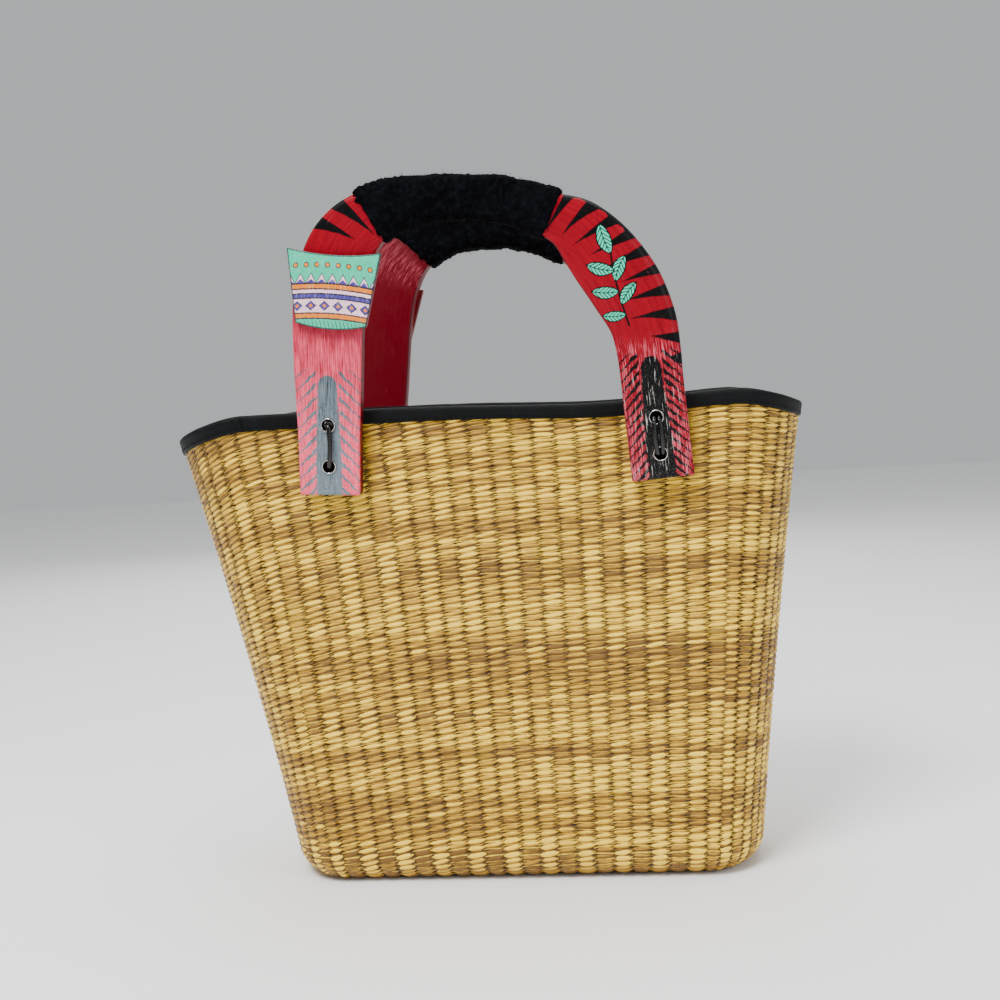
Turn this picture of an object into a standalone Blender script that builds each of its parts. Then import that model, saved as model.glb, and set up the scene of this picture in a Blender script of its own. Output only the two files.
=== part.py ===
# Straw basket bag with two arched wooden handles laced to its mouth.
# Metres, +Z up, X along the mouth, -Y is the front. The origin is under the middle of the bag.

import math

import bmesh
import bpy
from mathutils import Matrix, Vector

# Clearance between touching pieces
GAP = 0.0003

# Basket
MOUTH_WIDTH = 0.4435
MOUTH_DEPTH = 0.156
BASKET_HEIGHT = 0.334
END_DIP = {"left": 0.016, "right": 0.0115}
BASE_WIDTH = 0.333
BASE_DEPTH = 0.116
BASE_SHIFT = 0.015
STRAW_WALL = 0.004
BASE_EDGE = 0.018
MOUTH_CORNER = {"left": 0.062, "right": 0.044}
BASE_CORNER = {"left": 0.040, "right": 0.042}
END_ROUNDING = 0.86
WALL_BOW = 0.20
END_BOW = -0.18
DIP_POWER = 1.5
RIM_SAG = 0.0045
SAG_POWER = 2

# Cloth binding over the rim
BINDING_HEIGHT = 0.010
BINDING_CLOTH = 0.0013
BINDING_ROUND = 0.0016

# Wooden handles
HANDLE_THICKNESS = 0.014
LEG_SPACING = 0.2214
LEG_WIDTH = 0.041
HANDLE_RISE = 0.201
HANDLE_DROP = 0.055
HANDLE_OFFSET = 0.0130
EDGE_ROUND = 0.0018
SHOULDER_CHAMFER = 0.0045

# Wool wrap on the grip
WOOL = 0.0038
WOOL_ROUND = 0.007

# Board on the left leg
PLAQUE_TOP_WIDTH = 0.062
PLAQUE_FOOT_WIDTH = 0.047
PLAQUE_HEIGHT = 0.048
PLAQUE_THICKNESS = 0.005
PLAQUE_DIP = 0.003
PLAQUE_SAG = 0.003
PLAQUE_SEAT = 0.1125

# Place of each board: up a share of the seat's height above the foot, across a share of the top width
# right of the leg's middle line, turn in degrees.
PLAQUES = {
    "front": {"up": 1.00, "across": 0.062, "turn": 7.4},
    "back": {"up": 0.92, "across": -0.050, "turn": 8.0},
}

# Eyelets and laces
EYELET_BORE = 0.0076
EYELET_WALL = 0.0004
EYELET_RIM = 0.0102
EYELET_LIP = 0.0008
EYELET_DEPTH = 0.006
LACE_DIAMETER = 0.0032
LACE_HOLE = 0.0046
LACE_BEND = 0.003

# Heights of the two eyelets above the foot of each leg, as shares of the legs' drop below the rim
EYELETS = [
    {"side": "left", "lower": 0.35, "upper": 0.85},
    {"side": "right", "lower": 0.30, "upper": 0.735},
]

# One row for each section of the arch, from the left foot to the right one:
# across is a share of half the leg spacing, up a share of the rise, width a share of the leg width,
# chamfer how much of the broad outer chamfer shows there.
ARCH = [
    {"across": -1.000, "up": 0.000, "width": 1.00, "chamfer": 0.00},
    {"across": -0.975, "up": 0.220, "width": 1.03, "chamfer": 0.00},
    {"across": -0.950, "up": 0.430, "width": 1.11, "chamfer": 0.10},
    {"across": -0.925, "up": 0.590, "width": 1.15, "chamfer": 0.20},
    {"across": -0.880, "up": 0.715, "width": 1.15, "chamfer": 0.30},
    {"across": -0.785, "up": 0.822, "width": 1.07, "chamfer": 0.40},
    {"across": -0.630, "up": 0.894, "width": 0.87, "chamfer": 0.40},
    {"across": -0.420, "up": 0.932, "width": 0.63, "chamfer": 0.20},
    {"across": -0.180, "up": 0.937, "width": 0.54, "chamfer": 0.00},
    {"across": 0.050, "up": 0.930, "width": 0.53, "chamfer": 0.00},
    {"across": 0.260, "up": 0.901, "width": 0.58, "chamfer": 0.10},
    {"across": 0.435, "up": 0.860, "width": 0.71, "chamfer": 0.40},
    {"across": 0.575, "up": 0.815, "width": 0.92, "chamfer": 0.80},
    {"across": 0.705, "up": 0.731, "width": 1.11, "chamfer": 1.00},
    {"across": 0.835, "up": 0.620, "width": 1.15, "chamfer": 1.00},
    {"across": 0.922, "up": 0.514, "width": 1.06, "chamfer": 0.90},
    {"across": 0.952, "up": 0.410, "width": 1.01, "chamfer": 0.60},
    {"across": 0.965, "up": 0.290, "width": 0.99, "chamfer": 0.20},
    {"across": 1.000, "up": 0.000, "width": 1.00, "chamfer": 0.00},
]

# Rows of the table where the wool starts and ends, and how many rows at either end belong to a leg
WRAP_FROM = 6
WRAP_TO = 11
LEG_ROWS = 3

# Numbers of facets
FRONT_STEPS = 12
CORNER_STEPS = 8
END_STEPS = 2
WALL_LEVELS = 8
EDGE_LEVELS = 2
SPAN_STEPS = 3
ROUND_STEPS = 2
RING_SIDES = 13
HOLE_SIDES = 16
BEND_STEPS = 3
PLAQUE_STEPS = 6
HALVINGS = 30
TANGENT_STEP = 0.05

# Colour, roughness and metallic value of each material
FINISHES = {
    "straw": {"colour": (0.50, 0.33, 0.14), "roughness": 0.75, "metallic": 0.0},
    "binding_cloth": {"colour": (0.010, 0.012, 0.018), "roughness": 0.80, "metallic": 0.0},
    "handle_paint": {"colour": (0.55, 0.01, 0.02), "roughness": 0.30, "metallic": 0.0},
    "plaque_paint": {"colour": (0.12, 0.62, 0.52), "roughness": 0.35, "metallic": 0.0},
    "wool": {"colour": (0.006, 0.006, 0.008), "roughness": 0.95, "metallic": 0.0},
    "eyelet_metal": {"colour": (0.70, 0.70, 0.72), "roughness": 0.25, "metallic": 1.0},
    "lace_cord": {"colour": (0.012, 0.012, 0.012), "roughness": 0.35, "metallic": 0.0},
}

BINDING_STACK = GAP + BINDING_CLOTH
WALL_TOP = BASKET_HEIGHT - BINDING_STACK
SHARP_ANGLE = math.radians(35)


def clear_scene():
    for thing in list(bpy.data.objects):
        bpy.data.objects.remove(thing, do_unlink=True)


def make_material(name):
    finish = FINISHES[name]
    material = bpy.data.materials.new(name)
    material.use_nodes = True
    shader = material.node_tree.nodes["Principled BSDF"]
    shader.inputs["Base Color"].default_value = (*finish["colour"], 1.0)
    shader.inputs["Roughness"].default_value = finish["roughness"]
    shader.inputs["Metallic"].default_value = finish["metallic"]
    material.diffuse_color = (*finish["colour"], 1.0)
    return material


def add_mesh_object(name, mesh_data, material):
    mesh = bpy.data.meshes.new(name)
    bmesh.ops.recalc_face_normals(mesh_data, faces=mesh_data.faces)
    mesh_data.to_mesh(mesh)
    mesh_data.free()
    if material:
        mesh.materials.append(material)
    mesh.shade_smooth()
    mesh.set_sharp_from_angle(angle=SHARP_ANGLE)
    thing = bpy.data.objects.new(name, mesh)
    bpy.context.collection.objects.link(thing)
    return thing


def bridge(mesh_data, ring_a, ring_b):
    count = len(ring_a)
    for i in range(count):
        j = (i + 1) % count
        mesh_data.faces.new((ring_a[i], ring_a[j], ring_b[j], ring_b[i]))


def loft(rings, closed=False):
    # Skins a list of rings of equal length; an open loft gets flat ends.
    mesh_data = bmesh.new()
    made = [[mesh_data.verts.new(point) for point in ring] for ring in rings]
    for ring_a, ring_b in zip(made[:-1], made[1:]):
        bridge(mesh_data, ring_a, ring_b)
    if closed:
        bridge(mesh_data, made[-1], made[0])
    else:
        mesh_data.faces.new(made[0])
        mesh_data.faces.new(made[-1])
    return mesh_data


def mix(a, b, share):
    return a + (b - a) * share


# Basket

def wall_sizes(up, inset):
    # Plan sizes of the straw wall at a share of its height, drawn in by inset.
    bowed = up + WALL_BOW * up * (1 - up)
    flared = up + END_BOW * up * (1 - up)
    sizes = {
        "left": mix(BASE_WIDTH / 2 - BASE_SHIFT, MOUTH_WIDTH / 2 - BINDING_STACK, flared),
        "right": mix(BASE_WIDTH / 2 + BASE_SHIFT, MOUTH_WIDTH / 2 - BINDING_STACK, flared),
        "depth": mix(BASE_DEPTH / 2, MOUTH_DEPTH / 2 - BINDING_STACK, bowed),
        "corner_left": mix(BASE_CORNER["left"], MOUTH_CORNER["left"], up),
        "corner_right": mix(BASE_CORNER["right"], MOUTH_CORNER["right"], up),
    }
    sizes["corner_depth"] = sizes["depth"] * END_ROUNDING
    return {name: size - inset for name, size in sizes.items()}


def plan_columns():
    # The outline's columns seen from above: where along the straight front or back (0 left, 1 right),
    # how far round a corner, and on which side (-1 front, 1 back, between them on an end).
    quarter = math.pi / 2
    half = [(i / FRONT_STEPS, 0.0, -1.0) for i in range(FRONT_STEPS)]
    half += [(1.0, i / CORNER_STEPS * quarter, -1.0) for i in range(CORNER_STEPS)]
    half += [(1.0, quarter, mix(-1.0, 1.0, i / END_STEPS)) for i in range(END_STEPS)]
    half += [(1.0, (1 - i / CORNER_STEPS) * quarter, 1.0) for i in range(CORNER_STEPS)]
    return half + [(1.0 - run, angle, -side) for run, angle, side in half]


def rim_dip(column):
    # How far the rim hangs below its full height: a sag between the handle's legs, and the dipped ends.
    run, angle, _ = column
    sag = RIM_SAG * math.sin(math.pi * run ** SAG_POWER) ** 2
    return sag + END_DIP["right" if run > 0.5 else "left"] * math.sin(angle) ** DIP_POWER


def wall_point(column, height, inset):
    # Point of the straw wall in one column, at a height above the base.
    run, angle, side = column
    up = height / (WALL_TOP - rim_dip(column))
    sizes = wall_sizes(up, inset)
    right = run > 0.5
    corner = sizes["corner_right"] if right else sizes["corner_left"]
    left_start = sizes["corner_left"] - sizes["left"]
    right_start = sizes["right"] - sizes["corner_right"]
    x = mix(left_start, right_start, run) + corner * math.sin(angle) * (1 if right else -1)
    straight = sizes["depth"] - sizes["corner_depth"]
    y = side * straight + math.copysign(sizes["corner_depth"], side) * math.cos(angle)
    return Vector((x, y, height))


def wall_ring(up, inset):
    # Ring at a share of the wall's height; towards the ends it follows the dipped rim.
    ring = []
    for column in plan_columns():
        height = up * (WALL_TOP - rim_dip(column))
        ring.append(wall_point(column, height, inset))
    return ring


def rim_ring(drop, inset):
    # Ring at a fixed distance below the top of the finished rim.
    return [wall_point(column, BASKET_HEIGHT - rim_dip(column) - drop, inset)
            for column in plan_columns()]


def edge_rings(low, radius, inset):
    # Rounded lower edge: from the flat base ring up to where the wall starts.
    rings = []
    for i in range(EDGE_LEVELS + 1):
        angle = i / EDGE_LEVELS * math.pi / 2
        height = low + radius * (1 - math.cos(angle))
        draw_in = inset + radius * (1 - math.sin(angle))
        rings.append([wall_point(column, height, draw_in) for column in plan_columns()])
    return rings


def wall_rings(low, radius, inset):
    # All rings of one face of the wall, from the base to under the binding's fold.
    rings = edge_rings(low, radius, inset)
    start = (low + radius) / WALL_TOP
    finish = 1 - BINDING_HEIGHT / WALL_TOP
    for i in range(1, WALL_LEVELS):
        rings.append(wall_ring(mix(start, finish, i / WALL_LEVELS), inset))
    rings.append(rim_ring(BINDING_HEIGHT, inset))
    rings.append(rim_ring(BINDING_STACK, inset))
    return rings


def make_basket(material):
    outer = wall_rings(0.0, BASE_EDGE, 0.0)
    inner = wall_rings(STRAW_WALL, BASE_EDGE - STRAW_WALL, STRAW_WALL)
    return add_mesh_object("basket_body", loft(outer + inner[::-1]), material)


def make_binding(material):
    # Folded cloth: each ring follows one edge of its U-shaped section round the mouth.
    outside = -BINDING_STACK
    inside = STRAW_WALL + BINDING_STACK
    section = [
        (BINDING_HEIGHT, outside),
        (BINDING_ROUND, outside),
        (0.0, outside + BINDING_ROUND),
        (0.0, inside - BINDING_ROUND),
        (BINDING_ROUND, inside),
        (BINDING_HEIGHT, inside),
        (BINDING_HEIGHT, inside - BINDING_CLOTH),
        (BINDING_CLOTH, inside - BINDING_CLOTH),
        (BINDING_CLOTH, outside + BINDING_CLOTH),
        (BINDING_HEIGHT, outside + BINDING_CLOTH),
    ]
    rings = [rim_ring(drop, inset) for drop, inset in section]
    return add_mesh_object("rim_binding", loft(rings, closed=True), material)


# Handle

def wall_face(height):
    # How far the straw's outer face stands from the middle plane at a height, under the rim's deepest sag.
    return wall_sizes(height / (WALL_TOP - RIM_SAG), 0.0)["depth"]


def handle_frame(side):
    # Frame of one handle: x along the mouth, y out from the basket, z up the leaning board.
    # The back of the board rests on the lower edge of the binding and on the straw at its feet.
    foot = BASKET_HEIGHT - HANDLE_DROP
    edge = BASKET_HEIGHT - BINDING_HEIGHT
    lean = math.atan2(wall_face(edge) + BINDING_STACK - wall_face(foot), edge - foot)
    across = Vector((1, 0, 0))
    out = Vector((0, side * math.cos(lean), -math.sin(lean)))
    up = Vector((0, side * math.sin(lean), math.cos(lean)))
    frame = Matrix((across, out, up)).transposed().to_4x4()
    frame.translation = Vector((HANDLE_OFFSET, side * (wall_face(foot) + GAP), foot))
    return frame


def arch_row(position):
    # Smooth curve through the rows of the table; position counts rows.
    last = len(ARCH) - 1
    index = min(int(position), last - 1)
    t = position - index
    row = {}
    for column in ARCH[0]:
        p0 = ARCH[max(index - 1, 0)][column]
        p1 = ARCH[index][column]
        p2 = ARCH[index + 1][column]
        p3 = ARCH[min(index + 2, last)][column]
        slope_1 = (p2 - p0) / 2
        slope_2 = (p3 - p1) / 2
        bend = 3 * (p2 - p1) - 2 * slope_1 - slope_2
        twist = 2 * (p1 - p2) + slope_1 + slope_2
        row[column] = p1 + t * (slope_1 + t * (bend + t * twist))
    return row


def arch_centre(position):
    row = arch_row(position)
    return Vector((row["across"] * LEG_SPACING / 2, 0, row["up"] * HANDLE_RISE))


def arch_section(position, grow, steps, inner_round, outer_round):
    # Rounded rectangle across the arch, grown by a clearance or by the wool.
    before = arch_centre(max(position - TANGENT_STEP, 0))
    after = arch_centre(min(position + TANGENT_STEP, len(ARCH) - 1))
    along = (after - before).normalized()
    outward = Vector((-along.z, 0, along.x))
    half = arch_row(position)["width"] * LEG_WIDTH / 2 + grow
    low = -grow
    high = HANDLE_THICKNESS + grow
    corners = [
        (half, low, -1, 1, inner_round),
        (half, high, -1, -1, outer_round),
        (-half, high, 1, -1, inner_round),
        (-half, low, 1, 1, inner_round),
    ]
    points = []
    for number, (side, depth, turn_side, turn_depth, radius) in enumerate(corners):
        arc = []
        for i in range(steps + 1):
            angle = i / steps * math.pi / 2
            a = side + turn_side * radius * (1 - math.cos(angle))
            b = depth + turn_depth * radius * (1 - math.sin(angle))
            arc.append(arch_centre(position) + outward * a + Vector((0, b, 0)))
        points += arc if number % 2 else arc[::-1]
    return points


def make_handle(name, side, material):
    frame = handle_frame(side)
    rings = []
    for i in range((len(ARCH) - 1) * SPAN_STEPS + 1):
        position = i / SPAN_STEPS
        chamfer = EDGE_ROUND + arch_row(position)["chamfer"] * SHOULDER_CHAMFER
        section = arch_section(position, 0.0, ROUND_STEPS, EDGE_ROUND, chamfer)
        rings.append([frame @ point for point in section])
    handle = add_mesh_object(name, loft(rings), material)
    bore = EYELET_BORE / 2 + EYELET_WALL + GAP
    cutter = make_hole_cutter(name + "_cutter", side, bore, -GAP - BINDING_STACK, HANDLE_THICKNESS + GAP)
    cut(handle, cutter)
    return handle


def make_wrap(name, side, material):
    # A sleeve of wool round the grip, open at both ends for the wood.
    frame = handle_frame(side)
    outer = []
    inner = []
    for i in range(WRAP_FROM * SPAN_STEPS, WRAP_TO * SPAN_STEPS + 1):
        position = i / SPAN_STEPS
        chamfer = EDGE_ROUND + arch_row(position)["chamfer"] * SHOULDER_CHAMFER
        snug = arch_section(position, GAP, ROUND_STEPS, EDGE_ROUND, chamfer)
        full = arch_section(position, GAP + WOOL, ROUND_STEPS, WOOL_ROUND, WOOL_ROUND)
        inner.append([frame @ point for point in snug])
        outer.append([frame @ point for point in full])
    return add_mesh_object(name, loft(outer + inner[::-1], closed=True), material)


# Eyelets and laces

def leg_centre(side, rise):
    # Point on the middle line of one leg at a height above its foot, found by halving.
    last = len(ARCH) - 1
    near, far = (0, LEG_ROWS) if side == "left" else (last, last - LEG_ROWS)
    for _ in range(HALVINGS):
        middle = (near + far) / 2
        if arch_centre(middle).z < rise:
            near = middle
        else:
            far = middle
    return arch_centre(near)


def eyelet_places():
    # Centres of the eyelets in the handle's frame, upper one first on each leg.
    places = []
    for row in EYELETS:
        for level in ("upper", "lower"):
            centre = leg_centre(row["side"], row[level] * HANDLE_DROP)
            places.append({"side": row["side"], "level": level, "x": centre.x, "z": centre.z})
    return places


def add_cylinder(mesh_data, frame, x, z, radius, low, high, sides):
    turn = Matrix.Rotation(-math.pi / 2, 4, "X")
    place = Matrix.Translation((x, (low + high) / 2, z))
    bmesh.ops.create_cone(mesh_data, cap_ends=True, segments=sides, radius1=radius, radius2=radius,
                          depth=high - low, matrix=frame @ place @ turn)


def make_hole_cutter(name, side, radius, low, high):
    mesh_data = bmesh.new()
    frame = handle_frame(side)
    for place in eyelet_places():
        add_cylinder(mesh_data, frame, place["x"], place["z"], radius, low, high, HOLE_SIDES)
    cutter = add_mesh_object(name, mesh_data, None)
    cutter.hide_render = True
    cutter.display_type = "WIRE"
    return cutter


def cut(thing, cutter):
    modifier = thing.modifiers.new("holes", "BOOLEAN")
    modifier.operation = "DIFFERENCE"
    modifier.solver = "EXACT"
    modifier.object = cutter


def make_eyelet(name, side, place, material):
    # Turned profile: a rounded lip on the wood and a short barrel down its hole.
    frame = handle_frame(side)
    bore = EYELET_BORE / 2
    rim = EYELET_RIM / 2
    seat = HANDLE_THICKNESS + GAP
    soft = EYELET_LIP / 2
    profile = [
        (bore, HANDLE_THICKNESS - EYELET_DEPTH),
        (bore, seat + soft),
        (bore + soft, seat + EYELET_LIP),
        (rim - soft, seat + EYELET_LIP),
        (rim, seat + soft),
        (rim, seat),
        (bore + EYELET_WALL, seat),
        (bore + EYELET_WALL, HANDLE_THICKNESS - EYELET_DEPTH),
    ]
    rings = []
    for radius, out in profile:
        ring = []
        for i in range(RING_SIDES):
            angle = i / RING_SIDES * 2 * math.pi
            x = place["x"] + radius * math.cos(angle)
            z = place["z"] + radius * math.sin(angle)
            ring.append(frame @ Vector((x, out, z)))
        rings.append(ring)
    return add_mesh_object(name, loft(rings, closed=True), material)


def lace_depths():
    # The lace's middle line outside on the eyelets and inside behind the binding.
    outside = HANDLE_THICKNESS + EYELET_LIP + LACE_DIAMETER / 2 + 2 * GAP
    inside = -(GAP + 2 * BINDING_STACK + STRAW_WALL + LACE_DIAMETER / 2 + GAP)
    return outside, inside


def make_lace(name, side, upper, lower, material):
    # Loop of cord through both eyelets, the wood and the straw, with rounded turns.
    frame = handle_frame(side)
    outside, inside = lace_depths()
    corners = [
        (outside, lower["z"], 1, -1),
        (outside, upper["z"], 1, 1),
        (inside, upper["z"], -1, 1),
        (inside, lower["z"], -1, -1),
    ]
    points = []
    for number, (out, z, turn_out, turn_z) in enumerate(corners):
        arc = []
        for i in range(BEND_STEPS + 1):
            angle = i / BEND_STEPS * math.pi / 2
            a = out - turn_out * LACE_BEND * (1 - math.cos(angle))
            b = z - turn_z * LACE_BEND * (1 - math.sin(angle))
            arc.append((a, b))
        points += arc if number % 2 else arc[::-1]
    curve = bpy.data.curves.new(name, "CURVE")
    curve.dimensions = "3D"
    curve.bevel_depth = LACE_DIAMETER / 2
    curve.bevel_resolution = 1
    curve.materials.append(material)
    spline = curve.splines.new("POLY")
    spline.points.add(len(points) - 1)
    spline.use_cyclic_u = True
    for spot, (out, z) in zip(spline.points, points):
        share = (z - lower["z"]) / (upper["z"] - lower["z"])
        x = mix(lower["x"], upper["x"], share)
        spot.co = (*(frame @ Vector((x, out, z))), 1.0)
    thing = bpy.data.objects.new(name, curve)
    bpy.context.collection.objects.link(thing)
    return thing


def make_plaque(name, side, place, material):
    # Keystone board on the left leg: hollowed top edge, bellied lower edge.
    frame = handle_frame(side)
    seat = leg_centre("left", place["up"] * PLAQUE_SEAT)
    seat.x += place["across"] * PLAQUE_TOP_WIDTH
    turn = Matrix.Translation(seat) @ Matrix.Rotation(math.radians(place["turn"]), 4, "Y")
    outline = []
    for i in range(PLAQUE_STEPS + 1):
        share = i / PLAQUE_STEPS * 2 - 1
        outline.append((share * PLAQUE_FOOT_WIDTH / 2, -PLAQUE_SAG * (1 - share ** 2)))
    for i in range(PLAQUE_STEPS + 1):
        share = 1 - i / PLAQUE_STEPS * 2
        outline.append((share * PLAQUE_TOP_WIDTH / 2, PLAQUE_HEIGHT - PLAQUE_DIP * (1 - share ** 2)))
    low = HANDLE_THICKNESS + GAP
    rings = []
    for out in (low, low + PLAQUE_THICKNESS):
        rings.append([frame @ turn @ Vector((x, out, z)) for x, z in outline])
    return add_mesh_object(name, loft(rings), material)


def build():
    clear_scene()
    materials = {name: make_material(name) for name in FINISHES}
    basket = make_basket(materials["straw"])
    binding = make_binding(materials["binding_cloth"])
    places = eyelet_places()
    outside, inside = lace_depths()
    for label, side in (("front", -1), ("back", 1)):
        make_handle("handle_" + label, side, materials["handle_paint"])
        make_wrap("grip_wrap_" + label, side, materials["wool"])
        make_plaque("plaque_" + label, side, PLAQUES[label], materials["plaque_paint"])
        cutter = make_hole_cutter("lace_cutter_" + label, side, LACE_HOLE / 2,
                                  inside - LACE_DIAMETER, 0.0)
        cut(basket, cutter)
        cut(binding, cutter)
        for place in places:
            name = f"eyelet_{label}_{place['side']}_{place['level']}"
            make_eyelet(name, side, place, materials["eyelet_metal"])
        for upper, lower in (places[0:2], places[2:4]):
            name = f"lace_{label}_{upper['side']}"
            make_lace(name, side, upper, lower, materials["lace_cord"])


build()
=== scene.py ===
import math

import bmesh
import bpy
import numpy as np
from mathutils import Matrix, Vector, noise


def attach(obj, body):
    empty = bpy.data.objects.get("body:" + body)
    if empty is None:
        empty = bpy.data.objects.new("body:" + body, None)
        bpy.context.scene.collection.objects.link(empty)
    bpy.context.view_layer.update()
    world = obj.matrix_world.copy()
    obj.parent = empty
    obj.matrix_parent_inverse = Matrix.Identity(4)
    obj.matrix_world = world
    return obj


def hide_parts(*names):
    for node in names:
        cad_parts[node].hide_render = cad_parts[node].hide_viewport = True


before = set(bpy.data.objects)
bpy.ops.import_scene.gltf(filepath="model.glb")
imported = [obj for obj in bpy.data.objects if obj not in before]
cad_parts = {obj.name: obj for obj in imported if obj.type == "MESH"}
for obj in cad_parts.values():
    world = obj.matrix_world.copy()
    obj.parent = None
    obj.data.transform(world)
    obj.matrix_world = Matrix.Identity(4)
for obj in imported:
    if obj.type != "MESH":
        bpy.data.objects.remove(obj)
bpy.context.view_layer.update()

# sizes of the bag, in metres, the same as the solid parts have
basket = {
    "mouthWidth": 0.4435, "mouthDepth": 0.156, "height": 0.334,
    "endDipLeft": 0.016, "endDipRight": 0.0115,
    "baseWidth": 0.333, "baseDepth": 0.116, "baseShift": 0.015, "wall": 0.004, "baseEdge": 0.018,
    "mouthCornerLeft": 0.062, "mouthCornerRight": 0.044,
    "baseCornerLeft": 0.040, "baseCornerRight": 0.042,
    "endRounding": 0.86, "wallBow": 0.20, "endBow": -0.18, "dipPower": 1.5, "rimSag": 0.0045, "sagPower": 2,
}
gap = 0.0003
bindingStack = gap + 0.0013
wallTop = basket["height"] - bindingStack


def mix(a, b, share):
    return a + (b - a) * share


def unit(vectors):
    return vectors / np.linalg.norm(vectors, axis=-1, keepdims=True)


# mesh helpers

def addObject(name, mesh, smooth=True):
    thing = bpy.data.objects.new(name, mesh)
    bpy.context.scene.collection.objects.link(thing)
    if smooth:
        mesh.shade_smooth()
    return thing


def addMesh(name, points, faces):
    mesh = bpy.data.meshes.new(name)
    mesh.from_pydata([tuple(p) for p in points], [], faces)
    mesh.validate()
    return addObject(name, mesh)


def skin(rings, closed=False):
    # points and faces of a skin over rings of equal length; closed joins the last ring to the first
    count = len(rings[0])
    points = [p for ring in rings for p in ring]
    faces = []
    for i in range(len(rings) if closed else len(rings) - 1):
        low = i * count
        high = (i + 1) % len(rings) * count
        for j in range(count):
            k = (j + 1) % count
            faces.append((low + j, low + k, high + k, high + j))
    if not closed:
        faces.append(tuple(range(count))[::-1])
        faces.append(tuple((len(rings) - 1) * count + j for j in range(count)))
    return points, faces


def addPart(points, faces, more, found):
    first = len(points)
    points += more
    faces += [tuple(first + i for i in face) for face in found]


def faceOutward(thing):
    mesh = bmesh.new()
    mesh.from_mesh(thing.data)
    bmesh.ops.recalc_face_normals(mesh, faces=mesh.faces)
    mesh.to_mesh(thing.data)
    mesh.free()


def makeSkin(name, points, faces, material=None):
    # a closed mesh with its faces turned outward
    thing = addMesh(name, points, faces)
    faceOutward(thing)
    if material:
        thing.data.materials.append(material)
    return thing


def setMaterial(mesh, material):
    mesh.materials.clear()
    mesh.materials.append(material)


def setVector(mesh, name, values):
    store = mesh.attributes.new(name, "FLOAT_VECTOR", "POINT")
    store.data.foreach_set("vector", np.asarray(values, np.float32).ravel())


def setNumber(mesh, name, values):
    store = mesh.attributes.new(name, "FLOAT", "POINT")
    store.data.foreach_set("value", np.asarray(values, np.float32).ravel())


def pointsOf(mesh):
    found = np.zeros(len(mesh.vertices) * 3, np.float32)
    mesh.vertices.foreach_get("co", found)
    return found.reshape(-1, 3).astype(float)


def bakedMesh(thing):
    # the object's mesh with its modifiers applied
    bpy.context.view_layer.update()
    graph = bpy.context.evaluated_depsgraph_get()
    return bpy.data.meshes.new_from_object(thing.evaluated_get(graph))


def applyModifiers(thing):
    result = bakedMesh(thing)
    thing.modifiers.clear()
    thing.data = result
    return result


def growPiece(name, mesh, tree, values, material):
    # runs a geometry nodes tree on a mesh and keeps the result as a plain mesh
    holder = addObject(name + "_spots", mesh, smooth=False)
    nodes = holder.modifiers.new("growth", "NODES")
    nodes.node_group = tree
    for item in tree.interface.items_tree:
        if item.name in values:
            nodes[item.identifier] = values[item.name]
    grown = bakedMesh(holder)
    bpy.data.objects.remove(holder, do_unlink=True)
    grown.name = name
    setMaterial(grown, material)
    return addObject(name, grown)


def finishPiece(thing, slot, *nodes):
    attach(thing, "root")
    if nodes:
        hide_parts(*nodes)
    mesh = thing.data
    mesh.calc_loop_triangles()
    print(f"bag: {thing.name} has {len(mesh.loop_triangles)} triangles")


# shader helpers

class Wire:
    # one value in a node tree; every step below adds a Math node
    def __init__(self, tree, source):
        self.tree = tree
        self.source = source

    def step(self, operation, *others, clamp=False):
        values = dict(enumerate((self,) + others))
        node = addNode(self.tree, "ShaderNodeMath", values, operation=operation, use_clamp=clamp)
        return Wire(self.tree, node)

    def __rsub__(self, other):
        return (self * -1) + other

    def held(self):
        return self.step("ADD", 0.0, clamp=True)

    def below(self, limit, soft=0.15):
        # 1 where the value is under the limit, 0 above it, with a soft edge
        return ((limit - self) / soft + 0.5).held()

    def above(self, limit, soft=0.15):
        return ((self - limit) / soft + 0.5).held()

    def ramp(self, start, end, low=0.0, high=1.0):
        values = dict(enumerate((self, start, end, low, high)))
        node = addNode(self.tree, "ShaderNodeMapRange", values, interpolation_type="SMOOTHSTEP")
        return Wire(self.tree, node)


for label, operation in (
        ("__add__", "ADD"), ("__radd__", "ADD"), ("__sub__", "SUBTRACT"), ("__mul__", "MULTIPLY"),
        ("__rmul__", "MULTIPLY"), ("__truediv__", "DIVIDE"), ("size", "ABSOLUTE"), ("part", "FRACT"),
        ("whole", "FLOOR"), ("wave", "SINE"), ("least", "MINIMUM"), ("most", "MAXIMUM"), ("power", "POWER")):
    setattr(Wire, label, lambda self, *others, operation=operation: self.step(operation, *others))


def plug(tree, value, socket):
    # fills a socket with a value, or links it to a wire, a socket or a node's first output
    if isinstance(value, Wire):
        value = value.source
    if isinstance(value, bpy.types.Node):
        value = value.outputs[0]
    if isinstance(value, bpy.types.NodeSocket):
        tree.links.new(value, socket)
    else:
        socket.default_value = value


def addNode(tree, kind, values=None, **settings):
    # a new node with its settings, and its sockets filled by name or number
    node = tree.nodes.new(kind)
    for label, value in settings.items():
        setattr(node, label, value)
    for label, value in (values or {}).items():
        plug(tree, value, node.inputs[label])
    return node


def newMaterial(name, **values):
    material = bpy.data.materials.new(name)
    material.use_nodes = True
    tree = material.node_tree
    for label, value in values.items():
        plug(tree, value, tree.nodes["Principled BSDF"].inputs[label.replace("_", " ")])
    return material, tree


def finishLook(material, colour, relief, depth, roughness=None):
    tree = material.node_tree
    shader = tree.nodes["Principled BSDF"]
    plug(tree, colour, shader.inputs["Base Color"])
    plug(tree, addNode(tree, "ShaderNodeBump", {"Distance": depth, "Height": relief}), shader.inputs["Normal"])
    if roughness:
        plug(tree, roughness, shader.inputs["Roughness"])
    return material


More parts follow.
